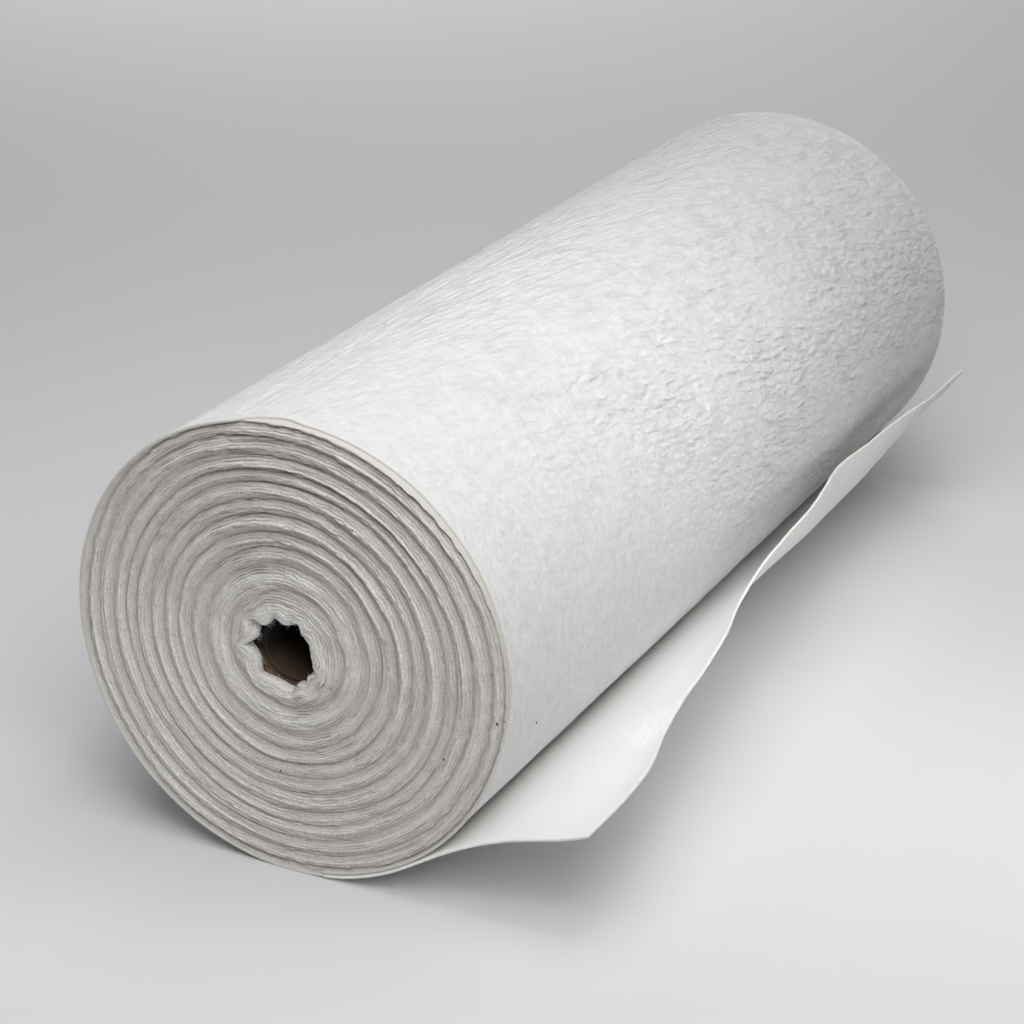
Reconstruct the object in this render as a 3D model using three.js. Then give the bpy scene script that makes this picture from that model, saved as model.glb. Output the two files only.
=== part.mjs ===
// A roll of painters fleece: a white needled felt with a film on one side, one metre wide,
// wound on a cardboard core. The film faces inward, and the loose end lifts off the floor
// along one side of the roll.
//
// Frame: millimetres, +Z up. The origin is the middle of the flat spot on which the roll
// rests. The roll's axis runs along Y, and the loose end lies toward +X. Angles round the
// roll are in degrees from straight down, growing toward +X.

import * as THREE from 'three';

// The cloth, and the roll that it makes.
const CLOTH_WIDTH = 1000;
const CLOTH_THICKNESS = 2.2;
const ROLL_RADIUS = 190;
const FLAT_HALF_ANGLE = 6;
const OUT_OF_ROUND = 1.2;

// The loose end sits this far off the turn below it.
const SEAT_GAP = 0.5;

// The cardboard core, and the cloth's free space round it and past its ends.
const CORE_BORE_RADIUS = 25;
const CORE_WALL = 3;
const CORE_RECESS = 13;
const CORE_GAP = 0.3;

// The innermost turns close over the core's ends as a lip with scallops.
const LIP_RADIUS = 22.5;
const LIP_ROUNDING = 3;
const SCALLOPS = 9;
const SCALLOP_DEPTH = 4;
const SCALLOP_START = 23;
const SCALLOP_REACH = 45;

// Creases on both end faces, from the hole outward. Each has its radius, its depth, and the
// depth at which the crest just outside it lies.
const END_CREASES = [
  { radius: 47, depth: 4.0, crest: 0.0 },
  { radius: 74, depth: 4.5, crest: 1.8 },
  { radius: 89, depth: 3.6, crest: 1.5 },
  { radius: 104, depth: 3.4, crest: 1.6 },
  { radius: 116, depth: 3.2, crest: 1.6 },
  { radius: 126, depth: 3.4, crest: 1.2 },
  { radius: 141, depth: 3.6, crest: 2.0 },
  { radius: 149, depth: 3.2, crest: 0.8 },
  { radius: 164, depth: 3.4, crest: 1.0 },
  { radius: 178, depth: 2.6, crest: 0.5 },
];
const RIM_ROUNDING = 2.5;

// The rings of the end faces sag out of centre toward this angle by this much.
const RING_SAG = 4;
const RING_SAG_ANGLE = 210;

// The loose end at stations along the roll: where it leaves the roll, the slopes at one and
// two thirds of its free length and at its cut edge, all in degrees, and the cloth's length
// from straight under the axis to the cut edge.
const LOOSE_END_STATIONS = [
  { y: -500, leaves: 28, inner: 29, outer: 16, edge: 27, length: 283 },
  { y: -380, leaves: 31, inner: 33, outer: 16, edge: 34, length: 280 },
  { y: -200, leaves: 37, inner: 34, outer: 34, edge: 50, length: 275 },
  { y: -60, leaves: 40, inner: 35, outer: 46, edge: 71, length: 271 },
  { y: 60, leaves: 36, inner: 31, outer: 50, edge: 83, length: 268 },
  { y: 180, leaves: 31, inner: 28, outer: 59, edge: 92, length: 264 },
  { y: 300, leaves: 34, inner: 30, outer: 54, edge: 85, length: 261 },
  { y: 400, leaves: 36, inner: 36, outer: 48, edge: 66, length: 259 },
  { y: 500, leaves: 35, inner: 35, outer: 48, edge: 54, length: 256 },
];
const LOOSE_END_START = 8.5;

// Facets: segments round the roll and the core, and steps along each surface.
const ROLL_SEGMENTS = 56;
const CORE_SEGMENTS = 40;
const SIDE_STEPS = 4;
const HUG_STEPS = 4;
const FREE_STEPS = 14;
const ACROSS_STEPS = 36;

const { clamp, degToRad, lerp, smoothstep } = THREE.MathUtils;

const STEP_ANGLE = LOOSE_END_START - 1;
const AXIS_HEIGHT = ROLL_RADIUS * Math.cos(degToRad(FLAT_HALF_ANGLE));
const CORE_RADIUS = CORE_BORE_RADIUS + CORE_WALL;

const fleece = new THREE.MeshStandardMaterial({ color: 0xf1efea, roughness: 0.95, metalness: 0 });
const film = new THREE.MeshStandardMaterial({ color: 0xf3f3f1, roughness: 0.55, metalness: 0 });
const cardboard = new THREE.MeshStandardMaterial({ color: 0xa07f5c, roughness: 0.9, metalness: 0 });

/** Point at an angle from straight down and a distance from the roll's axis. */
function aroundAxis(angle, radius, y) {
  const turn = degToRad(angle);
  return new THREE.Vector3(radius * Math.sin(turn), y, AXIS_HEIGHT - radius * Math.cos(turn));
}

/** The outer turn's radius: one layer thinner past the loose end, and a little out of round. */
function outlineRadius(angle) {
  const roundness = OUT_OF_ROUND * Math.sin(degToRad(angle / 2)) ** 2 * Math.cos(degToRad(3 * angle));
  const pastStep = (angle - STEP_ANGLE) / (360 - FLAT_HALF_ANGLE - STEP_ANGLE);
  const missingLayer = pastStep < 0 ? 0 : (CLOTH_THICKNESS + SEAT_GAP) * (1 - pastStep);
  return ROLL_RADIUS - missingLayer + roundness;
}

/** Outward push of the lip's scallops, which fades out in the turns round the hole. */
function scallopPush(angle, radius) {
  const wave = Math.abs(Math.sin(degToRad((angle - SCALLOP_START) * SCALLOPS) / 2));
  const fade = 1 - smoothstep(radius, LIP_RADIUS, SCALLOP_REACH);
  return SCALLOP_DEPTH * (1 - wave) * fade;
}

/** A point of the wound roll, from its place on the round profile. */
function woundPoint(angle, profile) {
  const share = profile.x / ROLL_RADIUS;
  const onBore = profile.x > CORE_RADIUS && Math.abs(profile.y) <= CLOTH_WIDTH / 2 - CORE_RECESS + CORE_GAP;
  if (onBore && share < SCALLOP_REACH / ROLL_RADIUS) {
    return aroundAxis(angle, profile.x, profile.y);
  }
  const outline = (outlineRadius(angle) - ROLL_RADIUS) * share ** 4;
  const sag = RING_SAG * Math.sin(Math.PI * share) ** 2 * Math.cos(degToRad(angle - RING_SAG_ANGLE));
  const radius = profile.x + outline + sag + scallopPush(angle, profile.x);
  const point = aroundAxis(angle, radius, profile.y);
  point.z = Math.max(point.z, 0);
  return point;
}

/** One end face's profile from the core's bore out to the rim, as radius and height. */
function endProfile() {
  const face = CLOTH_WIDTH / 2;
  const seat = face - CORE_RECESS + CORE_GAP;
  const points = [
    new THREE.Vector2(CORE_RADIUS + CORE_GAP, seat),
    new THREE.Vector2(LIP_RADIUS, seat),
    new THREE.Vector2(LIP_RADIUS, face - LIP_ROUNDING),
    new THREE.Vector2(LIP_RADIUS + LIP_ROUNDING, face - LIP_ROUNDING / 3),
  ];
  END_CREASES.forEach((crease, index) => {
    const next = END_CREASES[index + 1] ?? { radius: ROLL_RADIUS - RIM_ROUNDING };
    points.push(new THREE.Vector2(crease.radius, face - crease.depth));
    points.push(new THREE.Vector2((crease.radius + next.radius) / 2, face - crease.crest));
  });
  points.push(new THREE.Vector2(ROLL_RADIUS - RIM_ROUNDING, face - RIM_ROUNDING / 4));
  points.push(new THREE.Vector2(ROLL_RADIUS, face - RIM_ROUNDING));
  return points;
}

/** Angles of the roll's segments: the flat spot, the step of one layer, then even ones. */
function ringAngles() {
  const even = ROLL_SEGMENTS - 3;
  const last = 360 - FLAT_HALF_ANGLE;
  const angles = [0, FLAT_HALF_ANGLE];
  for (let index = 0; index <= even; index += 1) {
    angles.push(lerp(STEP_ANGLE, last, index / even));
  }
  return angles;
}

/** The wound cloth: a lathed ring whose points follow the outline, the lip and the flat spot. */
function fleeceRoll() {
  const farEnd = endProfile();
  const nearEnd = farEnd.map((point) => new THREE.Vector2(point.x, -point.y)).reverse();
  const rim = farEnd.at(-1);
  const side = [];
  for (let step = 1; step < SIDE_STEPS; step += 1) {
    side.push(new THREE.Vector2(rim.x, lerp(rim.y, -rim.y, step / SIDE_STEPS)));
  }
  const profile = [...farEnd, ...side, ...nearEnd, farEnd[0].clone()];
  const angles = ringAngles();
  const geometry = new THREE.LatheGeometry(profile, ROLL_SEGMENTS);
  const position = geometry.getAttribute('position');
  for (let vertex = 0; vertex < position.count; vertex += 1) {
    const segment = Math.floor(vertex / profile.length) % ROLL_SEGMENTS;
    const point = woundPoint(angles[segment], profile[vertex % profile.length]);
    position.setXYZ(vertex, point.x, point.y, point.z);
  }
  geometry.computeVertexNormals();
  return new THREE.Mesh(geometry, fleece);
}

/** The cardboard tube, turned on the roll's axis. */
function coreTube() {
  const half = CLOTH_WIDTH / 2 - CORE_RECESS;
  const profile = [
    new THREE.Vector2(CORE_BORE_RADIUS, -half),
    new THREE.Vector2(CORE_RADIUS, -half),
    new THREE.Vector2(CORE_RADIUS, half),
    new THREE.Vector2(CORE_BORE_RADIUS, half),
    new THREE.Vector2(CORE_BORE_RADIUS, -half),
  ];
  const tube = new THREE.Mesh(new THREE.LatheGeometry(profile, CORE_SEGMENTS), cardboard);
  tube.position.z = AXIS_HEIGHT;
  return tube;
}

/** Smooth values of the loose end's stations, at any place along the roll. */
function looseEndStations() {
  const places = LOOSE_END_STATIONS.map((station) => station.y);
  const columns = ['leaves', 'inner', 'outer', 'edge', 'length'];
  const values = LOOSE_END_STATIONS.flatMap((station) => columns.map((column) => station[column]));
  const curve = new THREE.CubicInterpolant(places, values, columns.length);
  return (y) => {
    const [leaves, inner, outer, edge, length] = curve.evaluate(y);
    return { leaves, slopes: [leaves, inner, outer, edge], length };
  };
}

/** The slope at a share of the free length, between the four slopes of a station. */
function slopeAt(slopes, share) {
  const place = share * (slopes.length - 1);
  const before = clamp(Math.floor(place), 0, slopes.length - 2);
  return lerp(slopes[before], slopes[before + 1], place - before);
}

/** The loose end's middle line at one station, as points with the slope at each. */
function looseEndLine(station, y) {
  const line = [];
  for (let step = 0; step <= HUG_STEPS; step += 1) {
    const angle = lerp(LOOSE_END_START, station.leaves, step / HUG_STEPS);
    const radius = outlineRadius(angle) + SEAT_GAP + CLOTH_THICKNESS / 2;
    line.push({ point: aroundAxis(angle, radius, y), slope: degToRad(angle) });
  }
  const stride = (station.length - ROLL_RADIUS * degToRad(station.leaves)) / FREE_STEPS;
  for (let step = 1; step <= FREE_STEPS; step += 1) {
    const middle = degToRad(slopeAt(station.slopes, (step - 0.5) / FREE_STEPS));
    const point = line.at(-1).point.clone();
    point.x += stride * Math.cos(middle);
    point.z += stride * Math.sin(middle);
    line.push({ point, slope: degToRad(slopeAt(station.slopes, step / FREE_STEPS)) });
  }
  return line;
}

/** The loose end: a thin block bent along its middle lines, film side up. */
function looseEnd() {
  const stationAt = looseEndStations();
  const alongSteps = HUG_STEPS + FREE_STEPS;
  const lines = [];
  for (let across = 0; across <= ACROSS_STEPS; across += 1) {
    const y = lerp(-CLOTH_WIDTH / 2, CLOTH_WIDTH / 2, across / ACROSS_STEPS);
    lines.push(looseEndLine(stationAt(y), y));
  }
  const geometry = new THREE.BoxGeometry(alongSteps, ACROSS_STEPS, 1, alongSteps, ACROSS_STEPS, 1);
  const position = geometry.getAttribute('position');
  for (let vertex = 0; vertex < position.count; vertex += 1) {
    const along = Math.round(position.getX(vertex) + alongSteps / 2);
    const across = Math.round(position.getY(vertex) + ACROSS_STEPS / 2);
    const lift = position.getZ(vertex) * CLOTH_THICKNESS;
    const { point, slope } = lines[across][along];
    position.setXYZ(vertex, point.x - lift * Math.sin(slope), point.y, point.z + lift * Math.cos(slope));
  }
  geometry.computeVertexNormals();
  return new THREE.Mesh(geometry, film);
}

const pieces = {
  core_tube: coreTube(),
  fleece_roll: fleeceRoll(),
  loose_end: looseEnd(),
};

const roll = new THREE.Group();
for (const [name, piece] of Object.entries(pieces)) {
  piece.name = name;
  roll.add(piece);
}

export default roll;
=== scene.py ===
"""A roll of painters fleece, dressed for the eye.

The roll is a white needled felt, one metre wide, with a thin film on one side. It is wound on a
cardboard core with the film facing inward. Its last turn leaves the roll low on one side and lifts
off the floor as a springy loose end. Both wound ends, the outer turn, the loose end, the core and
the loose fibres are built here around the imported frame. Sizes are in metres unless a name says mm,
and angles round the roll are in degrees from straight down, growing toward +X.
"""

import logging
import math
from collections.abc import Sequence
from dataclasses import dataclass, field
from enum import Enum
from typing import Any

import bpy
import numpy as np
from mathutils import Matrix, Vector


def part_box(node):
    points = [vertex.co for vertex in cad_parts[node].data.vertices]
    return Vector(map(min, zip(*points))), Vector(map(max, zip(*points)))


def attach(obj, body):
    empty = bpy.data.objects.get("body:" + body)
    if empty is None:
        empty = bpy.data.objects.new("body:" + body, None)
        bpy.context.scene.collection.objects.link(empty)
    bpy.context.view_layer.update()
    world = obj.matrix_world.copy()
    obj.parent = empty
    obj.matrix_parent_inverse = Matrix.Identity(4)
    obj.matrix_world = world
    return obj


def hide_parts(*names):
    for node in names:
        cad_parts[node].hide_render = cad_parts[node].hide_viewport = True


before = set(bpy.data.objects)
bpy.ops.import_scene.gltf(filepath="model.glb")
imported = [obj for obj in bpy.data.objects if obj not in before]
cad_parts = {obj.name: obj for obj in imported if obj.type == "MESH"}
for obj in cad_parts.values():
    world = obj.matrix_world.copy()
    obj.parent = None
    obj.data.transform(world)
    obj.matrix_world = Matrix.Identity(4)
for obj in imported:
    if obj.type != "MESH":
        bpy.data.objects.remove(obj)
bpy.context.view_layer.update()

MM = 0.001
LOG = logging.getLogger("fleece_roll")

# The felt and how it is wound, as the solids have it.
CLOTH_THICKNESS = 2.2 * MM
SEAT_GAP = 0.5 * MM
FLAT_HALF_ANGLE = 6.0
LOOSE_END_START = 8.5
OUT_OF_ROUND = 1.2 * MM
RING_SAG = 3.0 * MM
RING_SAG_ANGLE = 240.0

# Both sides of the felt are the same fibre, whose nap scatters light at the edges.
FIBRE_IOR = 1.45
NAP_ROUGHNESS = 0.5
# Polyethylene film, board and dust all lie near this.
PLAIN_IOR = 1.5


# ------------------------------------------------------------------ helpers


def linear(hex_colour: str) -> tuple[float, float, float, float]:
    """Turns an sRGB colour to linear light.

    Args:
        hex_colour: The colour as "#rrggbb".

    Returns:
        Linear red, green, blue and an alpha of 1.
    """
    channels = [int(hex_colour[i : i + 2], 16) / 255 for i in (1, 3, 5)]
    low = [c / 12.92 if c <= 0.04045 else ((c + 0.055) / 1.055) ** 2.4 for c in channels]
    return (low[0], low[1], low[2], 1.0)


def add_node(
    tree: bpy.types.NodeTree,
    kind: str,
    inputs: dict[str | int, Any] | None = None,
    output: str | int = 0,
    **settings: Any,
) -> bpy.types.NodeSocket | None:
    """Adds a shader node with its settings, values and links.

    Args:
        tree: The node tree that the node goes into.
        kind: The node's type name, without "ShaderNode".
        inputs: Values, or sockets to link, by the input's name or place.
        output: Name or place of the output that is wanted.
        settings: Properties of the node itself.

    Returns:
        That output, or None where the node has none.
    """
    node = tree.nodes.new("ShaderNode" + kind)
    for name, value in settings.items():
        setattr(node, name, value)
    for key, value in (inputs or {}).items():
        if isinstance(value, bpy.types.NodeSocket):
            tree.links.new(value, node.inputs[key])
        else:
            node.inputs[key].default_value = value
    return node.outputs[output] if node.outputs else None


def new_material(name: str) -> tuple[bpy.types.Material, bpy.types.NodeTree]:
    """Makes an empty node material.

    Args:
        name: The material's name.

    Returns:
        The material and its tree.
    """
    material = bpy.data.materials.new(name)
    material.use_nodes = True
    material.node_tree.nodes.clear()
    return material, material.node_tree


def build_mesh(
    name: str,
    points: np.ndarray,
    faces: np.ndarray,
    materials: Sequence[bpy.types.Material],
    face_slots: np.ndarray | None = None,
    marks: dict[str, np.ndarray] | None = None,
) -> bpy.types.Object:
    """Makes a smooth mesh object and leaves out the points that no face uses.

    Args:
        name: The piece's name.
        points: One row of x, y and z for each point.
        faces: One row of point numbers for each face.
        materials: The materials of the piece.
        face_slots: The material number of each face, or None for the first.
        marks: Values from 0 to 1 for each point that the materials read, by name.

    Returns:
        The new object, linked to the scene.
    """
    used, compact = np.unique(faces, return_inverse=True)
    mesh = bpy.data.meshes.new(name)
    mesh.from_pydata(points[used].tolist(), [], compact.reshape(faces.shape).tolist())
    for material in materials:
        mesh.materials.append(material)
    if face_slots is not None:
        mesh.polygons.foreach_set("material_index", face_slots.astype(np.int32))
    for mark, values in (marks or {}).items():
        mesh.attributes.new(mark, "FLOAT", "POINT").data.foreach_set("value", values[used])
    mesh.shade_smooth()
    mesh.update()
    piece = bpy.data.objects.new(name, mesh)
    bpy.context.scene.collection.objects.link(piece)
    return piece


def grid_faces(rows: int, columns: int, first: int = 0) -> np.ndarray:
    """Faces of an open grid whose points are numbered row by row.

    Args:
        rows: Rows of points.
        columns: Points in each row.
        first: Number of the first point.

    Returns:
        One row of four point numbers for each face.
    """
    row, column = np.meshgrid(np.arange(rows - 1), np.arange(columns - 1), indexing="ij")
    corner = (first + row * columns + column).ravel()
    return np.stack([corner, corner + 1, corner + columns + 1, corner + columns], axis=1)


def smooth_step(low: float, high: float, value: np.ndarray) -> np.ndarray:
    """Smooth rise from 0 at low to 1 at high."""
    share = np.clip((value - low) / (high - low), 0, 1)
    return share * share * (3 - 2 * share)


def band(low: float, high: float, soft: float, value: np.ndarray) -> np.ndarray:
    """1 between low and high, fading to 0 over soft on either side."""
    return smooth_step(low - soft, low, value) * (1 - smooth_step(high, high + soft, value))


def outward(turn: np.ndarray) -> np.ndarray:
    """Unit directions away from the roll's axis, at angles in radians."""
    return np.stack([np.sin(turn), np.zeros_like(turn), -np.cos(turn)], axis=1)


def onward(turn: np.ndarray) -> np.ndarray:
    """Unit directions round the roll's axis, at angles in radians."""
    return np.stack([np.cos(turn), np.zeros_like(turn), np.sin(turn)], axis=1)


class FeltNoise:
    """Seeded gradient noise, the same in each run."""

    def __init__(self, seed: int) -> None:
        """Draws the lattice's gradients and their order.

        Args:
            seed: Seeds the draws.
        """
        rng = np.random.default_rng(seed)
        gradients = rng.normal(size=(256, 3))
        self.gradients = gradients / np.linalg.norm(gradients, axis=1, keepdims=True)
        self.order = rng.permutation(256)

    def at(self, x: np.ndarray, y: np.ndarray | float = 0.0, z: np.ndarray | float = 0.0) -> np.ndarray:
        """Noise at places.

        Args:
            x: First coordinates, in lattice cells.
            y: Second coordinates.
            z: Third coordinates.

        Returns:
            Smooth values, mostly between -0.6 and 0.6.
        """
        points = np.stack(np.broadcast_arrays(x, y, z), axis=-1)
        cell = np.floor(points).astype(int)
        local = points - cell
        ease = local**3 * (local * (local * 6 - 15) + 10)
        total = np.zeros(points.shape[:-1])
        for corner in np.ndindex(2, 2, 2):
            place = (cell + corner) & 255
            key = self.order[(self.order[place[..., 0]] + place[..., 1]) & 255]
            key = self.order[(key + place[..., 2]) & 255]
            weight = np.prod(np.where(np.array(corner) == 1, ease, 1 - ease), axis=-1)
            total += weight * np.sum(self.gradients[key] * (local - corner), axis=-1)
        return total

    def around(self, angle: np.ndarray, reach: np.ndarray | float, z: np.ndarray | float) -> np.ndarray:
        """Noise on circles, which meets itself after a full turn.

        Args:
            angle: Angles in degrees.
            reach: The circles' radii, in lattice cells.
            z: Third coordinates.

        Returns:
            The noise at each.
        """
        turn = np.radians(angle)
        return self.at(np.cos(turn) * reach, np.sin(turn) * reach, z)


# ------------------------------------------------------------------ the roll's form


@dataclass(frozen=True)
class RollForm:
    """True form of the roll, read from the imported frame."""

    width: float
    axis_height: float
    radius: float
    core_radius: float
    core_half: float

    @classmethod
    def from_frame(cls) -> "RollForm":
        """Reads the sizes from the boxes of the solids.

        Returns:
            The roll's form.
        """
        roll_low, roll_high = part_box("fleece_roll")
        core_low, core_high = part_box("core_tube")
        axis_height = (core_low[2] + core_high[2]) / 2
        return cls(
            width=roll_high[1] - roll_low[1],
            axis_height=axis_height,
            radius=axis_height / math.cos(math.radians(FLAT_HALF_ANGLE)),
            core_radius=(core_high[0] - core_low[0]) / 2,
            core_half=(core_high[1] - core_low[1]) / 2,
        )

    def roundness(self, angle: np.ndarray) -> np.ndarray:
        """How far the outer turn is out of round at an angle."""
        turn = np.radians(angle)
        return OUT_OF_ROUND * np.sin(turn / 2) ** 2 * np.cos(3 * turn)

    def outline(self, angle: np.ndarray) -> np.ndarray:
        """Radius of the outer turn's surface, from the loose end's start once round."""
        past = (angle - LOOSE_END_START) / 360
        return self.radius - (CLOTH_THICKNESS + SEAT_GAP) * (1 - past) + self.roundness(angle)

    def place(self, angle: np.ndarray, radius: np.ndarray, y: np.ndarray) -> np.ndarray:
        """Points round the axis, pressed flat where the roll meets the floor.

        Args:
            angle: Angles round the roll.
            radius: Distances from its axis.
            y: Places along it.

        Returns:
            x, y and z of each.
        """
        turn = np.radians(angle)
        x = radius * np.sin(turn)
        z = np.maximum(self.axis_height - radius * np.cos(turn), 0)
        return np.stack(np.broadcast_arrays(x, y, z), axis=-1)


# ------------------------------------------------------------------ finishes


def from_axis(tree: bpy.types.NodeTree, form: RollForm) -> bpy.types.NodeSocket:
    """The place as seen from the roll's axis."""
    place = add_node(tree, "TexCoord", output="Object")
    return add_node(tree, "VectorMath", {0: place, 1: (0, 0, form.axis_height)}, operation="SUBTRACT")


@dataclass(frozen=True)
class Grain:
    """A pattern drawn out along the cloth.

    It has a size in mm round the roll and along it, levels of its noise between which it fades in,
    a lean in radians, octaves beyond the first and a distortion.
    """

    size_mm: tuple[float, float]
    levels: tuple[float, float]
    lean: float = 0.0
    detail: float = 1.0
    warp: float = 0.0


@dataclass(frozen=True)
class Folds:
    """Flat-topped bumps that winding has pressed into the felt, parted by soft valleys.

    They have a size in mm round the roll and along it, a valley's width as a share of that, the
    share of light that is left at its bottom, and a relief in mm.
    """

    size_mm: tuple[float, float]
    valley: float
    darkest: float
    relief_mm: float


@dataclass(frozen=True)
class NeedledFelt:
    """White polyester fibre, needled to a felt: matt, with a faint nap and fine wrinkles."""

    white: str = "#eae9e8"
    shade: str = "#e0dfe0"
    # Painted light: where the tone mark is set, low on the roll by the loose end and on the loose end near
    # the roll, the felt is made lighter and creamier, standing in for warm light bounced into the crevice.
    painted_light_cream: str = "#faf7f3"
    roughness: float = 0.95
    nap: float = 0.25
    mottle: Grain = Grain((10.0, 10.0), (0.35, 0.7), detail=4.0)
    # Real fibres are 0.02 mm thick and can't show, so their hair is drawn some 2 mm coarse.
    hairs: tuple[Grain, Grain] = (
        Grain((24.0, 4.2), (0.42, 0.7), 0.75, 2.0, 1.2),
        Grain((24.0, 4.2), (0.42, 0.7), -0.12, 2.0, 1.2),
    )
    hair_contrast: float = 0.13
    hair_relief_mm: float = 0.45
    hair_strength: float = 0.6
    # The hair lies down toward the roll's top: how much is left there, and the distances round
    # the roll from the top, in metres, between which it rises.
    hair_left: float = 0.3
    hair_from: tuple[float, float] = (0.07, 0.2)
    strands: Grain = Grain((70.0, 3.4), (0.63, 0.76), 0.6, 1.0, 2.2)
    strand_light: float = 0.06
    # The hair's direction drifts over this distance, by this share of it.
    drift_mm: float = 70.0
    drift_share: float = 0.4
    pebbles: Folds = Folds((8.0, 22.0), 0.45, 0.955, 0.85)
    creases: Folds = Folds((18.0, 62.0), 0.32, 0.9, 0.95)
    # Where the cloth is smooth, this much of the pebbles is left, and no creases.
    pebbles_left: float = 0.12
    # The folds lean this far from the roll's axis, and their borders waver by this much.
    lean: float = 0.22
    waver: float = 0.6
    # Creases come in patches.
    patches: Grain = Grain((26.0, 36.0), (0.4, 0.58))

    def unrolled(self, tree: bpy.types.NodeTree, form: RollForm) -> bpy.types.NodeSocket:
        """The place on the cloth as if laid flat.

        Args:
            tree: The felt's node tree.
            form: The roll's form.

        Returns:
            The distance round the roll from its top, and the place along it.
        """
        parts = add_node(tree, "SeparateXYZ", {"Vector": from_axis(tree, form)}).node.outputs
        turn = add_node(tree, "Math", {0: parts["X"], 1: parts["Z"]}, operation="ARCTAN2")
        arc = add_node(tree, "Math", {0: turn, 1: form.radius}, operation="MULTIPLY")
        return add_node(tree, "CombineXYZ", {"X": arc, "Y": parts["Y"]})

    def drifted(self, tree: bpy.types.NodeTree, flat: bpy.types.NodeSocket) -> bpy.types.NodeSocket:
        """The place on the unrolled cloth, shifted so that the fibres' direction drifts.

        Args:
            tree: The felt's node tree.
            flat: The place on the unrolled cloth.

        Returns:
            The shifted place.
        """
        noise = {"Vector": flat, "Scale": 1 / (self.drift_mm * MM), "Detail": 1.0}
        drift = add_node(tree, "TexNoise", noise, "Color")
        reach = self.drift_share * self.drift_mm * MM
        shift = {0: drift, 1: (reach, reach, 0.0), 2: flat}
        return add_node(tree, "VectorMath", shift, operation="MULTIPLY_ADD")

    def laid(
        self,
        tree: bpy.types.NodeTree,
        place: bpy.types.NodeSocket,
        size_mm: tuple[float, float],
        lean: float,
    ) -> bpy.types.NodeSocket:
        """Turns and stretches a place on the cloth, so that a pattern leans and is drawn out.

        Args:
            tree: The felt's node tree.
            place: The place on the unrolled cloth.
            size_mm: The pattern's size round the roll and along it.
            lean: How far it is turned, in radians.

        Returns:
            The place in the pattern's own sizes.
        """
        leaning = add_node(tree, "Mapping", {"Vector": place, "Rotation": (0.0, 0.0, lean)})
        scale = (1 / (size_mm[0] * MM), 1 / (size_mm[1] * MM), 1.0)
        return add_node(tree, "Mapping", {"Vector": leaning, "Scale": scale})

    def grain(
        self, tree: bpy.types.NodeTree, place: bpy.types.NodeSocket, grain: Grain
    ) -> bpy.types.NodeSocket:
        """Draws a grain on the cloth.

        Args:
            tree: The felt's node tree.
            place: The drifted place on the unrolled cloth.
            grain: The pattern.

        Returns:
            Its strength, from 0 to 1.
        """
        laid = self.laid(tree, place, grain.size_mm, grain.lean)
        settings = {"Scale": 1.0, "Detail": grain.detail, "Roughness": 0.6, "Distortion": grain.warp}
        noise = add_node(tree, "TexNoise", {"Vector": laid, **settings})
        low, high = grain.levels
        return add_node(tree, "MapRange", {"Value": noise, "From Min": low, "From Max": high})

    def pressed(
        self, tree: bpy.types.NodeTree, flat: bpy.types.NodeSocket, folds: Folds
    ) -> bpy.types.NodeSocket:
        """Presses folds into the cloth.

        Args:
            tree: The felt's node tree.
            flat: The place on the unrolled cloth.
            folds: The folds.

        Returns:
            Height from 0 in the valleys to 1 on the bumps.
        """
        place = self.laid(tree, flat, folds.size_mm, self.lean)
        noise = {"Vector": place, "Scale": 1.3, "Detail": 2.0}
        waver = add_node(tree, "TexNoise", noise, "Color", noise_dimensions="2D")
        shift = {0: waver, 1: (self.waver, self.waver, 0.0), 2: place}
        warped = add_node(tree, "VectorMath", shift, operation="MULTIPLY_ADD")
        cells = {"Vector": warped, "Scale": 1.0, "Randomness": 1.0}
        border = add_node(tree, "TexVoronoi", cells, voronoi_dimensions="2D", feature="DISTANCE_TO_EDGE")
        rise = {"Value": border, "From Max": folds.valley}
        return add_node(tree, "MapRange", rise, interpolation_type="SMOOTHSTEP")

    def material(self, form: RollForm) -> bpy.types.Material:
        """Builds the felt's nodes.

        Args:
            form: The roll's form.

        Returns:
            The material.
        """
        material, tree = new_material("needled_felt")
        flat = self.unrolled(tree, form)
        drifted = self.drifted(tree, flat)
        tone = add_node(tree, "Attribute", output="Fac", attribute_name="tone")
        folded = add_node(tree, "Attribute", output="Fac", attribute_name="folded")
        mask = self.grain(tree, drifted, self.patches)
        depth = add_node(tree, "Math", {0: folded, 1: mask}, operation="MULTIPLY")
        shallow = add_node(tree, "MapRange", {"Value": folded, "To Min": self.pebbles_left})
        shares = []
        normal = {}
        for folds, amount in ((self.pebbles, shallow), (self.creases, depth)):
            height = self.pressed(tree, flat, folds)
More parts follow.
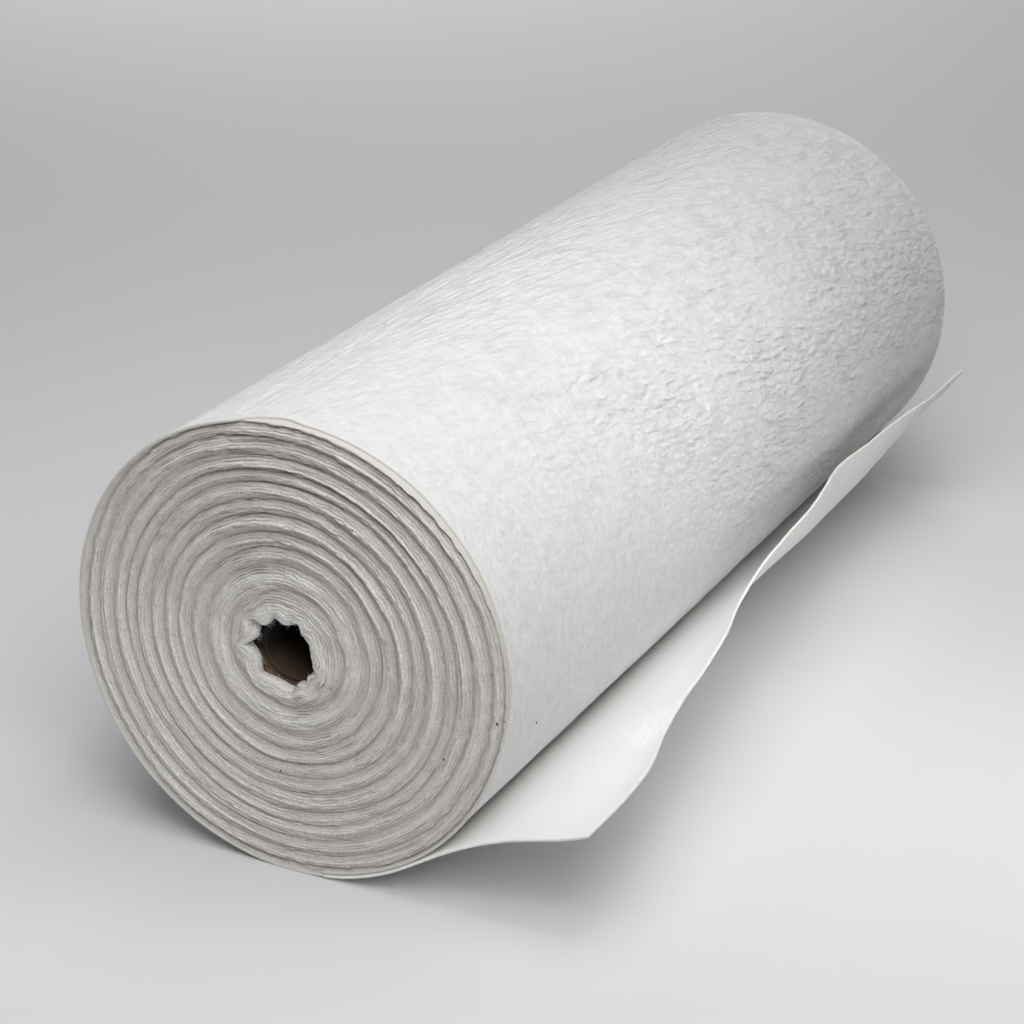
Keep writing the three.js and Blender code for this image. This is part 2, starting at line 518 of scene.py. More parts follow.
            # Less light reaches the bottom of a crease.
            share = add_node(tree, "MapRange", {"Value": height, "To Min": folds.darkest})
            shares.append(add_node(tree, "Mix", {0: amount, 2: 1.0, 3: share}))
            relief = {"Height": height, "Strength": amount, "Distance": folds.relief_mm * MM}
            normal = {"Normal": add_node(tree, "Bump", {**relief, **normal})}
        open_share = add_node(tree, "Math", {0: shares[0], 1: shares[1]}, operation="MULTIPLY")
        layers = [self.grain(tree, drifted, hair) for hair in self.hairs]
        both = add_node(tree, "Math", {0: layers[0], 1: layers[1]}, operation="MAXIMUM")
        arc = add_node(tree, "SeparateXYZ", {"Vector": flat}, "X")
        rise = {"From Min": self.hair_from[0], "From Max": self.hair_from[1], "To Min": self.hair_left}
        raised = add_node(tree, "MapRange", {"Value": arc, **rise})
        hair = add_node(tree, "Math", {0: both, 1: raised}, operation="MULTIPLY")
        relief = {"Height": hair, "Strength": self.hair_strength, "Distance": self.hair_relief_mm * MM}
        normal = {"Normal": add_node(tree, "Bump", {**relief, **normal})}
        half = self.hair_contrast / 2
        hair_light = add_node(tree, "MapRange", {"Value": hair, "To Min": 1 - half, "To Max": 1 + half})
        strands = self.grain(tree, drifted, self.strands)
        lit = {0: strands, 1: self.strand_light, 2: hair_light}
        strand_light = add_node(tree, "Math", lit, operation="MULTIPLY_ADD")
        light = add_node(tree, "Math", {0: open_share, 1: strand_light}, operation="MULTIPLY")
        mottle = self.grain(tree, drifted, self.mottle)
        whites = {0: mottle, 6: linear(self.white), 7: linear(self.shade)}
        mottled = add_node(tree, "Mix", whites, 2, data_type="RGBA")
        # Painted light: where the tone mark is set, the felt is lighter and creamier.
        toned = add_node(tree, "Mix", {0: tone, 6: mottled, 7: linear(self.painted_light_cream)}, 2, data_type="RGBA")
        colour = add_node(tree, "VectorMath", {0: toned, "Scale": light}, operation="SCALE")
        body = {"Base Color": colour, "Roughness": self.roughness, "IOR": FIBRE_IOR}
        sheen = {"Sheen Weight": self.nap, "Sheen Roughness": NAP_ROUGHNESS}
        shader = add_node(tree, "BsdfPrincipled", {**body, **sheen, **normal})
        add_node(tree, "OutputMaterial", {"Surface": shader})
        return material


@dataclass(frozen=True)
class SlitFelt:
    """The felt's slit edge: looser, greyer fibre ends, drawn out in streaks along the turns."""

    pale: str = "#f4f2ef"
    grey: str = "#d6d2cd"
    # Painted shade: turns that lie back, in the recesses between crests, are given a darker colour.
    deep: str = "#d0cac4"
    roughness: float = 0.97
    nap: float = 0.2
    streak_apart_mm: float = 0.75
    streaks_round: float = 130.0
    streak_levels: tuple[float, float] = (0.38, 0.68)
    streak_relief_mm: float = 0.7
    # Fibre ends are 0.02 mm thick and can't show, so their grain is drawn 1 mm coarse.
    grain_mm: float = 1.0
    grain_levels: tuple[float, float] = (0.36, 0.58)
    grain_light: tuple[float, float] = (0.76, 1.12)
    grain_relief_mm: float = 0.5
    relief_strength: float = 0.7

    def streaks(self, tree: bpy.types.NodeTree, form: RollForm) -> bpy.types.NodeSocket:
        """Streaks that run round the roll's axis.

        Args:
            tree: The slit edge's node tree.
            form: The roll's form.

        Returns:
            Values round 0.5.
        """
        place = from_axis(tree, form)
        across = add_node(tree, "VectorMath", {0: place, 1: (1, 0, 1)}, operation="MULTIPLY")
        radius = add_node(tree, "VectorMath", {0: across}, "Value", operation="LENGTH")
        direction = add_node(tree, "VectorMath", {0: across}, operation="NORMALIZE")
        turning = {0: direction, "Scale": self.streaks_round / 3}
        round_part = add_node(tree, "VectorMath", turning, operation="SCALE")
        apart = self.streak_apart_mm * MM
        rings = add_node(tree, "Math", {0: radius, 1: 1 / apart}, operation="MULTIPLY")
        outward_part = add_node(tree, "CombineXYZ", {"Y": rings})
        streaked = add_node(tree, "VectorMath", {0: round_part, 1: outward_part}, operation="ADD")
        noise = {"Scale": 1.0, "Detail": 4, "Roughness": 0.7, "Distortion": 0.3}
        return add_node(tree, "TexNoise", {"Vector": streaked, **noise})

    def material(self, form: RollForm) -> bpy.types.Material:
        """Builds the slit edge's nodes.

        Args:
            form: The roll's form.

        Returns:
            The material.
        """
        material, tree = new_material("slit_felt")
        place = add_node(tree, "TexCoord", output="Object")
        streaks = self.streaks(tree, form)
        noise = {"Scale": 1 / (self.grain_mm * MM), "Detail": 3, "Roughness": 0.7, "Distortion": 1.0}
        fibres = add_node(tree, "TexNoise", {"Vector": place, **noise})
        low, high = self.streak_levels
        streak_share = add_node(tree, "MapRange", {"Value": streaks, "From Min": low, "From Max": high})
        greys = {0: streak_share, 6: linear(self.pale), 7: linear(self.grey)}
        streaked = add_node(tree, "Mix", greys, 2, data_type="RGBA")
        # Painted shade: the tone mark darkens turns that lie back.
        tone = add_node(tree, "Attribute", output="Fac", attribute_name="tone")
        recessed = add_node(tree, "Mix", {0: tone, 6: streaked, 7: linear(self.deep)}, 2, data_type="RGBA")
        low, high = self.grain_levels
        dark, bright = self.grain_light
        levels = {"From Min": low, "From Max": high, "To Min": dark, "To Max": bright}
        light = add_node(tree, "MapRange", {"Value": fibres, **levels})
        colour = add_node(tree, "VectorMath", {0: recessed, "Scale": light}, operation="SCALE")
        normal = {}
        for height, relief_mm in ((streaks, self.streak_relief_mm), (fibres, self.grain_relief_mm)):
            relief = {"Height": height, "Strength": self.relief_strength, "Distance": relief_mm * MM}
            normal = {"Normal": add_node(tree, "Bump", {**relief, **normal})}
        body = {"Base Color": colour, "Roughness": self.roughness, "IOR": FIBRE_IOR}
        sheen = {"Sheen Weight": self.nap, "Sheen Roughness": NAP_ROUGHNESS}
        shader = add_node(tree, "BsdfPrincipled", {**body, **sheen, **normal})
        add_node(tree, "OutputMaterial", {"Surface": shader})
        return material


@dataclass(frozen=True)
class BackingFilm:
    """Polyethylene film laminated to the felt: smooth and satin, with the felt's grain telegraphed."""

    white: str = "#ececeb"
    # Painted highlight: in one patch, white and grey specks stand in for glints on crumpled film.
    glint_light: str = "#ffffff"
    creased: str = "#dedede"
    # Painted light: a lighter white where the film lies in shade near the roll.
    painted_light: str = "#fbfbfa"
    roughness: float = 0.42
    grain_mm: float = 1.8
    grain_relief_mm: float = 0.2
    grain_strength: float = 0.25
    wave_mm: float = 25.0
    wave_relief_mm: float = 0.8
    wave_strength: float = 0.5
    # Where the painted glints sit: the patch's middle and its reach, and how ragged its border is.
    glint_at: tuple[float, float, float] = (0.240, -0.33, 0.085)
    glint_reach: float = 0.048
    ragged_mm: float = 7.0
    ragged_share: float = 1.3
    crumple_mm: float = 1.3
    crumple_relief_mm: float = 0.3
    crumple_levels: tuple[float, float] = (0.4, 0.5)
    # Light passes through the thin cloth, so it softens in the film.
    glow: float = 0.6
    glow_mm: float = 3.0

    def glint_patch(self, tree: bpy.types.NodeTree, place: bpy.types.NodeSocket) -> bpy.types.NodeSocket:
        """How much of the painted glints a place gets, and of the crumpled bump under them.

        Args:
            tree: The film's node tree.
            place: The place on the film.

        Returns:
            1 in the middle of the glint patch, 0 beyond its ragged border.
        """
        away = add_node(tree, "VectorMath", {0: place, 1: self.glint_at}, "Value", operation="DISTANCE")
        noise = {"Vector": place, "Scale": 1 / (self.ragged_mm * MM), "Detail": 4, "Roughness": 0.7}
        ragged = add_node(tree, "TexNoise", noise)
        border = {0: ragged, 1: self.ragged_share * self.glint_reach, 2: away}
        ragged_away = add_node(tree, "Math", border, operation="MULTIPLY_ADD")
        reach = {"From Min": self.glint_reach, "From Max": 1.5 * self.glint_reach}
        return add_node(tree, "MapRange", {"Value": ragged_away, **reach, "To Min": 1.0, "To Max": 0.0})

    def material(self) -> bpy.types.Material:
        """Builds the film's nodes.

        Returns:
            The material.
        """
        material, tree = new_material("backing_film")
        place = add_node(tree, "TexCoord", output="Object")
        cells = {"Vector": place, "Scale": 1 / (self.grain_mm * MM), "Randomness": 1.0}
        grain = add_node(tree, "TexVoronoi", cells, feature="SMOOTH_F1")
        waves = add_node(tree, "TexNoise", {"Vector": place, "Scale": 1 / (self.wave_mm * MM), "Detail": 2})
        glint_patch = self.glint_patch(tree, place)
        noise = {"Vector": place, "Scale": 1 / (self.crumple_mm * MM), "Detail": 2, "Roughness": 0.6}
        crumple = add_node(tree, "TexNoise", noise)
        low, high = self.crumple_levels
        sparkle = add_node(tree, "MapRange", {"Value": crumple, "From Min": low, "From Max": high})
        crumpled = {0: sparkle, 6: linear(self.creased), 7: linear(self.glint_light)}
        glitter = add_node(tree, "Mix", crumpled, 2, data_type="RGBA")
        # Painted light: where the tone mark is set, the film is lighter.
        tone = add_node(tree, "Attribute", output="Fac", attribute_name="tone")
        whites = {0: tone, 6: linear(self.white), 7: linear(self.painted_light)}
        toned = add_node(tree, "Mix", whites, 2, data_type="RGBA")
        # Painted highlight: the glint patch takes the white and grey specks.
        colour = add_node(tree, "Mix", {0: glint_patch, 6: toned, 7: glitter}, 2, data_type="RGBA")
        normal = {}
        for height, strength, relief_mm in (
            (waves, self.wave_strength, self.wave_relief_mm),
            (grain, self.grain_strength, self.grain_relief_mm),
            (crumple, glint_patch, self.crumple_relief_mm),
        ):
            relief = {"Height": height, "Strength": strength, "Distance": relief_mm * MM}
            normal = {"Normal": add_node(tree, "Bump", {**relief, **normal})}
        body = {"Base Color": colour, "Roughness": self.roughness, "IOR": PLAIN_IOR}
        glow = {"Subsurface Weight": self.glow, "Subsurface Scale": self.glow_mm * MM}
        glow["Subsurface Radius"] = (1.0, 1.0, 1.0)
        shader = add_node(tree, "BsdfPrincipled", {**body, **glow, **normal})
        add_node(tree, "OutputMaterial", {"Surface": shader})
        return material


@dataclass(frozen=True)
class PlainFinish:
    """A plain dull finish, for things too small to show a pattern."""

    name: str
    colour: str
    roughness: float

    def material(self) -> bpy.types.Material:
        """Builds the finish's nodes.

        Returns:
            The material.
        """
        material, tree = new_material(self.name)
        body = {"Base Color": linear(self.colour), "Roughness": self.roughness, "IOR": PLAIN_IOR}
        add_node(tree, "OutputMaterial", {"Surface": add_node(tree, "BsdfPrincipled", body)})
        return material


@dataclass(frozen=True)
class CoreBoard:
    """Brown spirally wound board: dull, fibrous and a little mottled."""

    name: str = "core_board"
    brown: str = "#7a614a"
    dark: str = "#1a120b"
    # Painted shade: above these heights the board darkens, as only the bottom of the bore is lit; below them
    # it stays brown.
    shade_heights: tuple[float, float] = (0.162, 0.182)
    roughness: float = 0.9
    # The board's fibres are short and fine, so they are drawn as flecks of 3 mm.
    fleck_mm: float = 3.0
    relief_mm: float = 0.3
    relief_strength: float = 0.4

    def material(self) -> bpy.types.Material:
        """Builds the board's nodes.

        Returns:
            The material.
        """
        material, tree = new_material(self.name)
        place = add_node(tree, "TexCoord", output="Object")
        noise = {"Scale": 1 / (self.fleck_mm * MM), "Detail": 5, "Roughness": 0.65, "Distortion": 0.6}
        fibres = add_node(tree, "TexNoise", {"Vector": place, **noise})
        height = add_node(tree, "SeparateXYZ", {"Vector": place}, "Z")
        low, high = self.shade_heights
        # Painted shade: the board darkens above the shade heights.
        clear = add_node(tree, "MapRange", {"Value": height, "From Min": low, "From Max": high})
        darkness = add_node(tree, "Math", {0: fibres, 1: clear}, operation="MAXIMUM")
        browns = {0: darkness, 6: linear(self.brown), 7: linear(self.dark)}
        colour = add_node(tree, "Mix", browns, 2, data_type="RGBA")
        relief = {"Height": fibres, "Strength": self.relief_strength, "Distance": self.relief_mm * MM}
        body = {"Base Color": colour, "Roughness": self.roughness, "IOR": PLAIN_IOR}
        shader = add_node(tree, "BsdfPrincipled", {**body, "Normal": add_node(tree, "Bump", relief)})
        add_node(tree, "OutputMaterial", {"Surface": shader})
        return material


# The rims where the outer turn ends, pressed flat. Painted shade: they are given a greyer colour than the
# felt, for the band under the outer turn's edge that lies in its shade.
SHADED_FELT_RIM = PlainFinish("shaded_felt_rim", "#d2d0ca", 0.95)
# Single fibres are smoother than the felt that they make.
POLYESTER_FIBRE = PlainFinish("polyester_fibre", "#efeeec", 0.6)
BROWN_DUST = PlainFinish("brown_dust", "#2e2620", 0.9)
# Painted shade: inside the bore the board is given darker browns, as little light gets in.
INSIDE_BOARD = CoreBoard("core_board_inside", "#5a4632", "#1c140d")


# ------------------------------------------------------------------ wound ends


class EndSide(Enum):
    """Which end of the roll, as the sign of its Y."""

    NEAR = -1
    FAR = 1


@dataclass(frozen=True)
class Crest:
    """A turn that stands out of the end face, and how the turns outside it fall back.

    Sizes are in mm: the crest's radius and height, the width of its outer flank, and how high the
    face has risen again just inside the crest.
    """

    radius: float
    height: float
    flank: float
    foot: float


@dataclass(frozen=True)
class Cusp:
    """A notch between two scallops of the hole's lip: its angle, and its depth in mm."""

    angle: float
    depth: float


@dataclass
class WoundEnd:
    """One end of the roll: the slit edges of all turns but the last, as one spiral."""

    form: RollForm
    side: EndSide
    edge: bpy.types.Material
    rim: bpy.types.Material
    board: bpy.types.Material
    seed: int
    segments: int = 400
    # Turn numbers at which the face is parted into pieces.
    parts: tuple[int, ...] = (0, 34, 74)
    lip_radius_mm: float = 28.0
    throat_radius_mm: float = 25.2
    # The lip leans this far toward its wide side.
    lean_mm: float = 2.6
    lean_angle: float = 305.0
    floor_mm: float = 4.9
    # The soft swells round the hole: radius and height in mm.
    swells: tuple[tuple[float, float], ...] = (
        (28, 3.4),
        (33, 4.6),
        (38, 3.2),
        (43, 2.4),
        (50, 0.3),
        (56, 3.6),
        (61, 4.2),
        (70, 0.3),
        (75.9, 2.2),
    )
    crests: tuple[Crest, ...] = (
        Crest(76, 3.3, 7.5, 1.8),
        Crest(90, 4.1, 6.5, 2.6),
        Crest(103, 4.1, 6.5, 2.9),
        Crest(116, 3.5, 6.0, 2.7),
        Crest(128.5, 4.4, 7.5, 3.1),
        Crest(141.5, 3.3, 5.0, 2.7),
        Crest(151.5, 4.4, 8.5, 2.8),
        Crest(166, 4.0, 8.0, 3.1),
        Crest(179, 3.8, 5.0, 3.4),
        Crest(189, 4.0, 6.0, 3.6),
    )
    # A thin crease runs along the foot of each crest's flank.
    crease_mm: float = 1.3
    crease_half_mm: float = 0.8
    # The turns stand out most toward the upper right.
    uneven: float = 0.3
    uneven_angle: float = 150.0
    cusps: tuple[Cusp, ...] = (
        Cusp(5, 5.5),
        Cusp(33, 5.0),
        Cusp(62, 5.0),
        Cusp(121, 2.5),
        Cusp(157, 3.5),
        Cusp(203, 5.5),
        Cusp(237, 7.5),
        Cusp(272, 8.5),
        Cusp(313, 7.0),
    )
    # Places across one turn, and the share of the groove's depth at each.
    across: tuple[float, ...] = (0.0, 0.14, 0.38, 0.62, 0.86)
    groove_share: tuple[float, ...] = (1.0, 0.35, 0.0, 0.0, 0.35)
    # How far the swells and crests wander outward, in mm: slowly, in crinkles and in ripples.
    sway_mm: float = 4.5
    crinkle_mm: float = 2.4
    ripple_mm: float = 1.0
    # How much higher or lower the crests get along their way.
    fade: float = 0.9
    # How far whole turns stand out of step, slip along the axis and are lumpy, in mm.
    stagger_mm: float = 1.9
    slip_mm: float = 1.1
    lump_mm: float = 0.8
    # The groove between two turns in mm, and how fast it gapes where the turns part.
    groove_mm: float = 0.5
    gape_mm: float = 6.5
    # The innermost turn over the lip: how far in toward the throat, and how deep below the rim in mm.
    throat: tuple[tuple[float, float], ...] = (
        (0.22, -0.5),
        (0.45, -0.5),
        (0.65, 0.1),
        (0.82, 1.2),
        (0.93, 2.6),
        (0.99, 4.4),
        (1.0, 6.2),
        (0.85, 7.4),
    )
    # Behind the scallops the cloth stands back by this much, and covers the core's end by its seat.
    behind_mm: float = 4.5
    seat_mm: float = 2.0
    # The skirt under the outer turn: how far in from the rim, and how far out past it, in mm.
    skirt: tuple[tuple[float, float], ...] = (
        (0.3, 0.35),
        (1.0, 0.6),
        (2.5, 0.7),
        (8.0, 0.6),
        (16.0, 0.3),
        (26.0, 0.0),
    )
    skirt_inset_mm: float = 0.5
    noise: FeltNoise = field(init=False)

    def __post_init__(self) -> None:
        """Draws this end's own noise."""
        self.noise = FeltNoise(self.seed)

    def lip_push(self, angle: np.ndarray) -> np.ndarray:
        """Outward push of the lip's scallops at its throat, sharp at the cusps.

        Args:
            angle: Angles round the hole.

        Returns:
            The push at each, in mm.
        """
        cusp_angles = np.array([cusp.angle for cusp in self.cusps])
        depths = np.array([cusp.depth for cusp in self.cusps])
        around = np.append(cusp_angles, cusp_angles[0] + 360)
        depth_at = np.interp(angle % 360, cusp_angles, depths, period=360)
        wrapped = (angle - cusp_angles[0]) % 360 + cusp_angles[0]
        before = np.clip(np.searchsorted(around, wrapped, side="right") - 1, 0, len(cusp_angles) - 1)
        share = (wrapped - around[before]) / (around[before + 1] - around[before])
        return depth_at * (1 - np.sin(np.pi * share) ** 0.8)

    def lean(self, angle: np.ndarray) -> np.ndarray:
        """How far the lip leans outward at an angle, in mm."""
        return self.lean_mm * np.cos(np.radians(angle - self.lean_angle))

    def rise(self, ring_mm: np.ndarray) -> np.ndarray:
        """Height of the face above its lowest level.

        Args:
            ring_mm: Radii, already swayed as the rings sway.

        Returns:
            The height at each in mm: swells near the hole, sharp crests beyond them.
        """
        radii, heights = np.array(self.swells).T
        after = np.clip(np.searchsorted(radii, ring_mm), 1, len(radii) - 1)
        share = smooth_step(0, 1, (ring_mm - radii[after - 1]) / (radii[after] - radii[after - 1]))
        swell = heights[after - 1] * (1 - share) + heights[after] * share
        starts = np.array([crest.radius for crest in self.crests])
        inside = np.clip(np.searchsorted(starts, ring_mm, side="right") - 1, 0, len(starts) - 2)
        height = np.array([crest.height for crest in self.crests])[inside]
        flank = np.array([crest.flank for crest in self.crests])[inside]
        foot = np.array([crest.foot for crest in self.crests])[inside + 1]
        away = ring_mm - starts[inside]
        fall = np.clip(away / flank, 0, 1)
        climb = np.clip((away - flank) / (starts[inside + 1] - starts[inside] - flank), 0, 1)
        banded = height * (1 - fall**1.15) + foot * climb**0.9
        banded -= self.crease_mm * np.exp(-(((away - flank) / self.crease_half_mm) ** 2))
        return np.where(ring_mm < starts[0], swell, banded)

    def face_points(self, wound: np.ndarray, across: np.ndarray) -> tuple[np.ndarray, np.ndarray]:
        """Points of the face.

        Args:
            wound: Places along the spiral, in turns.
            across: Places across the turn there, from 0 inside to 1 outside.

        Returns:
            One row of x, y and z for each, and the tone of each: 1 where it lies far back, which the slit
            edge darkens as painted shade.
        """
        angle = LOOSE_END_START + 360 * wound
        outer_mm = (self.form.radius - CLOTH_THICKNESS) / MM
        pitch = (outer_mm - self.lip_radius_mm) / (self.parts[-1] + 1)
        plain = self.lip_radius_mm + pitch * (wound + across)
        middle = self.lip_radius_mm + pitch * (wound + 0.5)
        share = plain / outer_mm
        noise = self.noise
        sway = noise.around(angle, 1.3, middle / 30)
        fade = noise.around(angle, 2.2, middle / 11 + 40)
        crinkle = noise.around(angle, plain / 9, plain / 13)
        ripple = noise.around(angle, plain / 4, plain / 5 + 9)
        lumps = noise.around(angle, plain / 5, wound * 0.9)
        stagger = noise.at(wound * 2.7, 0.0, 1.0)
        gaping = noise.around(angle, plain / 16, np.floor(wound) * 2.3)
        slip = noise.around(angle, 3.0, np.floor(wound) * 5.1)
        near_lip = 1 - smooth_step(self.lip_radius_mm, 50.0, plain)
        sag = RING_SAG / MM * np.sin(np.pi * share) ** 2 * np.cos(np.radians(angle - RING_SAG_ANGLE))
        radius = plain + sag + self.form.roundness(angle) / MM * share**4
        radius += near_lip * (0.7 * self.lip_push(angle) + 2.2 * self.lean(angle) + 4.2 * crinkle)
        radius += (0.9 * crinkle + 0.6 * ripple) * (1 - share**6)
        # Each turn stands out as a whole, so the face steps from turn to turn.
        ring = middle + 0.6 * (plain - middle)
        ring += self.sway_mm * sway + self.crinkle_mm * crinkle + self.ripple_mm * ripple
        uneven = self.uneven * np.cos(np.radians(angle - self.uneven_angle))
        uneven = 1 + uneven * smooth_step(50.0, 90.0, plain)
        low = self.floor_mm - self.rise(ring) * (1 + self.fade * fade)
        depth = uneven * low + self.stagger_mm * stagger + self.slip_mm * slip + self.lump_mm * lumps
        groove = (self.groove_mm + self.gape_mm * np.maximum(gaping - 0.03, 0)) * (1 + 0.8 * near_lip)
        depth += groove * np.interp(across, [*self.across, 1.0], [*self.groove_share, self.groove_share[0]])
        y = self.side.value * (self.form.width / 2 - np.maximum(depth, 0) * MM)
        return self.form.place(angle, radius * MM, y), smooth_step(0.4, self.floor_mm + 0.6, depth)

    def build(self) -> list[bpy.types.Object]:
        """Builds the end: the spiral face, with the lip's throat and the outer skirt.

        Returns:
            The end's pieces, from the hole outward.
        """
        steps = len(self.across)
        pieces = []
        for number, (first, last) in enumerate(zip(self.parts[:-1], self.parts[1:])):
            columns = (last - first + 1) * self.segments + 1
            wound = first + np.repeat(np.arange(columns) / self.segments, steps)
            points, tone = self.face_points(wound, np.tile(np.array(self.across), columns))
            faces = self.face_faces(last - first)
            slots = [np.zeros(len(faces), int)]
            border = np.arange(self.segments + 1) * steps
            if first == 0:
                points, throat = self.add_rows(points, border, self.throat_rows(points[border]))
                faces = np.concatenate([faces, throat[:, ::-1]])
                slots.append(np.repeat([0, 2], [len(throat) - self.segments, self.segments]))
            if last == self.parts[-1]:
                border = border + (last - first) * self.segments * steps
                points, skirt = self.add_rows(points, border, self.skirt_rows(points[border]))
                faces = np.concatenate([faces, skirt])
                slots.append(np.ones(len(skirt), int))
            marks = {"tone": np.append(tone, np.zeros(len(points) - len(tone)))}
            if self.side is EndSide.NEAR:
                faces = faces[:, ::-1]
            name = f"{self.side.name.lower()}_wound_end_{number + 1}"
            materials = [self.edge, self.rim, self.board]
            pieces.append(build_mesh(name, points, faces, materials, np.concatenate(slots), marks))
        return pieces

    def face_faces(self, turns: int) -> np.ndarray:
        """Faces of the spiral, where the step past a turn's last is the next turn's first.

        Args:
            turns: How many turns it has.

        Returns:
            One row of four point numbers for each face.
        """
        steps = len(self.across)
        column, step = np.meshgrid(np.arange(turns * self.segments), np.arange(steps), indexing="ij")
        column, step = column.ravel(), step.ravel()
        beyond = step + 1 == steps
        outer_column = column + beyond * self.segments
        outer_step = np.where(beyond, 0, step + 1)
        return np.stack(
            [
                column * steps + step,
                (column + 1) * steps + step,
                (outer_column + 1) * steps + outer_step,
                outer_column * steps + outer_step,
            ],
            axis=1,
        )

    def add_rows(
        self, points: np.ndarray, border: np.ndarray, rows: list[np.ndarray]
    ) -> tuple[np.ndarray, np.ndarray]:
        """Adds rows of points beyond a border of the face.

        Args:
            points: The points so far.
            border: Numbers of the border's points.
            rows: Rows of new points, each as long as the border.

        Returns:
            All points, and the new faces.
        """
        columns = len(border)
        first = len(points)
        joined = np.concatenate([points, *rows])
        row = first + np.arange(columns)
        strip = np.stack([border[:-1], border[1:], row[1:], row[:-1]], axis=1)
        return joined, np.concatenate([strip, grid_faces(len(rows), columns, first)])

    def rim_angle(self) -> np.ndarray:
        """Angles of a rim's points."""
        return LOOSE_END_START + 360 * np.arange(self.segments + 1) / self.segments

    def throat_rows(self, rim: np.ndarray) -> list[np.ndarray]:
        """The innermost turn, rolled over the lip and into the throat, down to the core's end.

        Args:
            rim: Points of the face's inner rim.

        Returns:
            Rows of points, each as long as the rim.
        """
        angle = self.rim_angle()
        rim_mm = np.hypot(rim[:, 0], rim[:, 2] - self.form.axis_height) / MM
        throat_mm = self.throat_radius_mm + 1.6 * self.lean(angle) + self.lip_push(angle)
        core_mm = self.form.core_radius / MM - 1
        seat = np.full_like(angle, self.side.value * (self.form.core_half - self.seat_mm * MM))
        rows = []
        for inward, below_mm in self.throat:
            fuzz = self.noise.around(angle, 7.0, below_mm)
            radius_mm = rim_mm + (throat_mm - rim_mm) * inward + 0.7 * fuzz
            y = rim[:, 1] - self.side.value * below_mm * MM
            rows.append(self.form.place(angle, radius_mm * MM, y))
        # Behind the scallops the cloth stands back from the glued outer ply of the core.
        behind_mm = np.maximum(throat_mm + self.behind_mm, core_mm + 1)
        rows.append(self.form.place(angle, behind_mm * MM, seat))
        rows.append(self.form.place(angle, np.full_like(angle, core_mm * MM), seat))
        return rows

    def skirt_rows(self, rim: np.ndarray) -> list[np.ndarray]:
        """The outer side of the last turn but one, over the rim and under the outer turn.

        Args:
            rim: Points of the face's outer rim.

        Returns:
            Rows of points, each as long as the rim.
        """
        angle = self.rim_angle()
        radius = np.hypot(rim[:, 0], rim[:, 2] - self.form.axis_height)
        rows = []
        for inward_mm, outward_mm in self.skirt:
            y = rim[:, 1] - self.side.value * inward_mm * MM
            rows.append(self.form.place(angle, radius + (outward_mm - self.skirt_inset_mm) * MM, y))
        return rows


# ------------------------------------------------------------------ outer turn


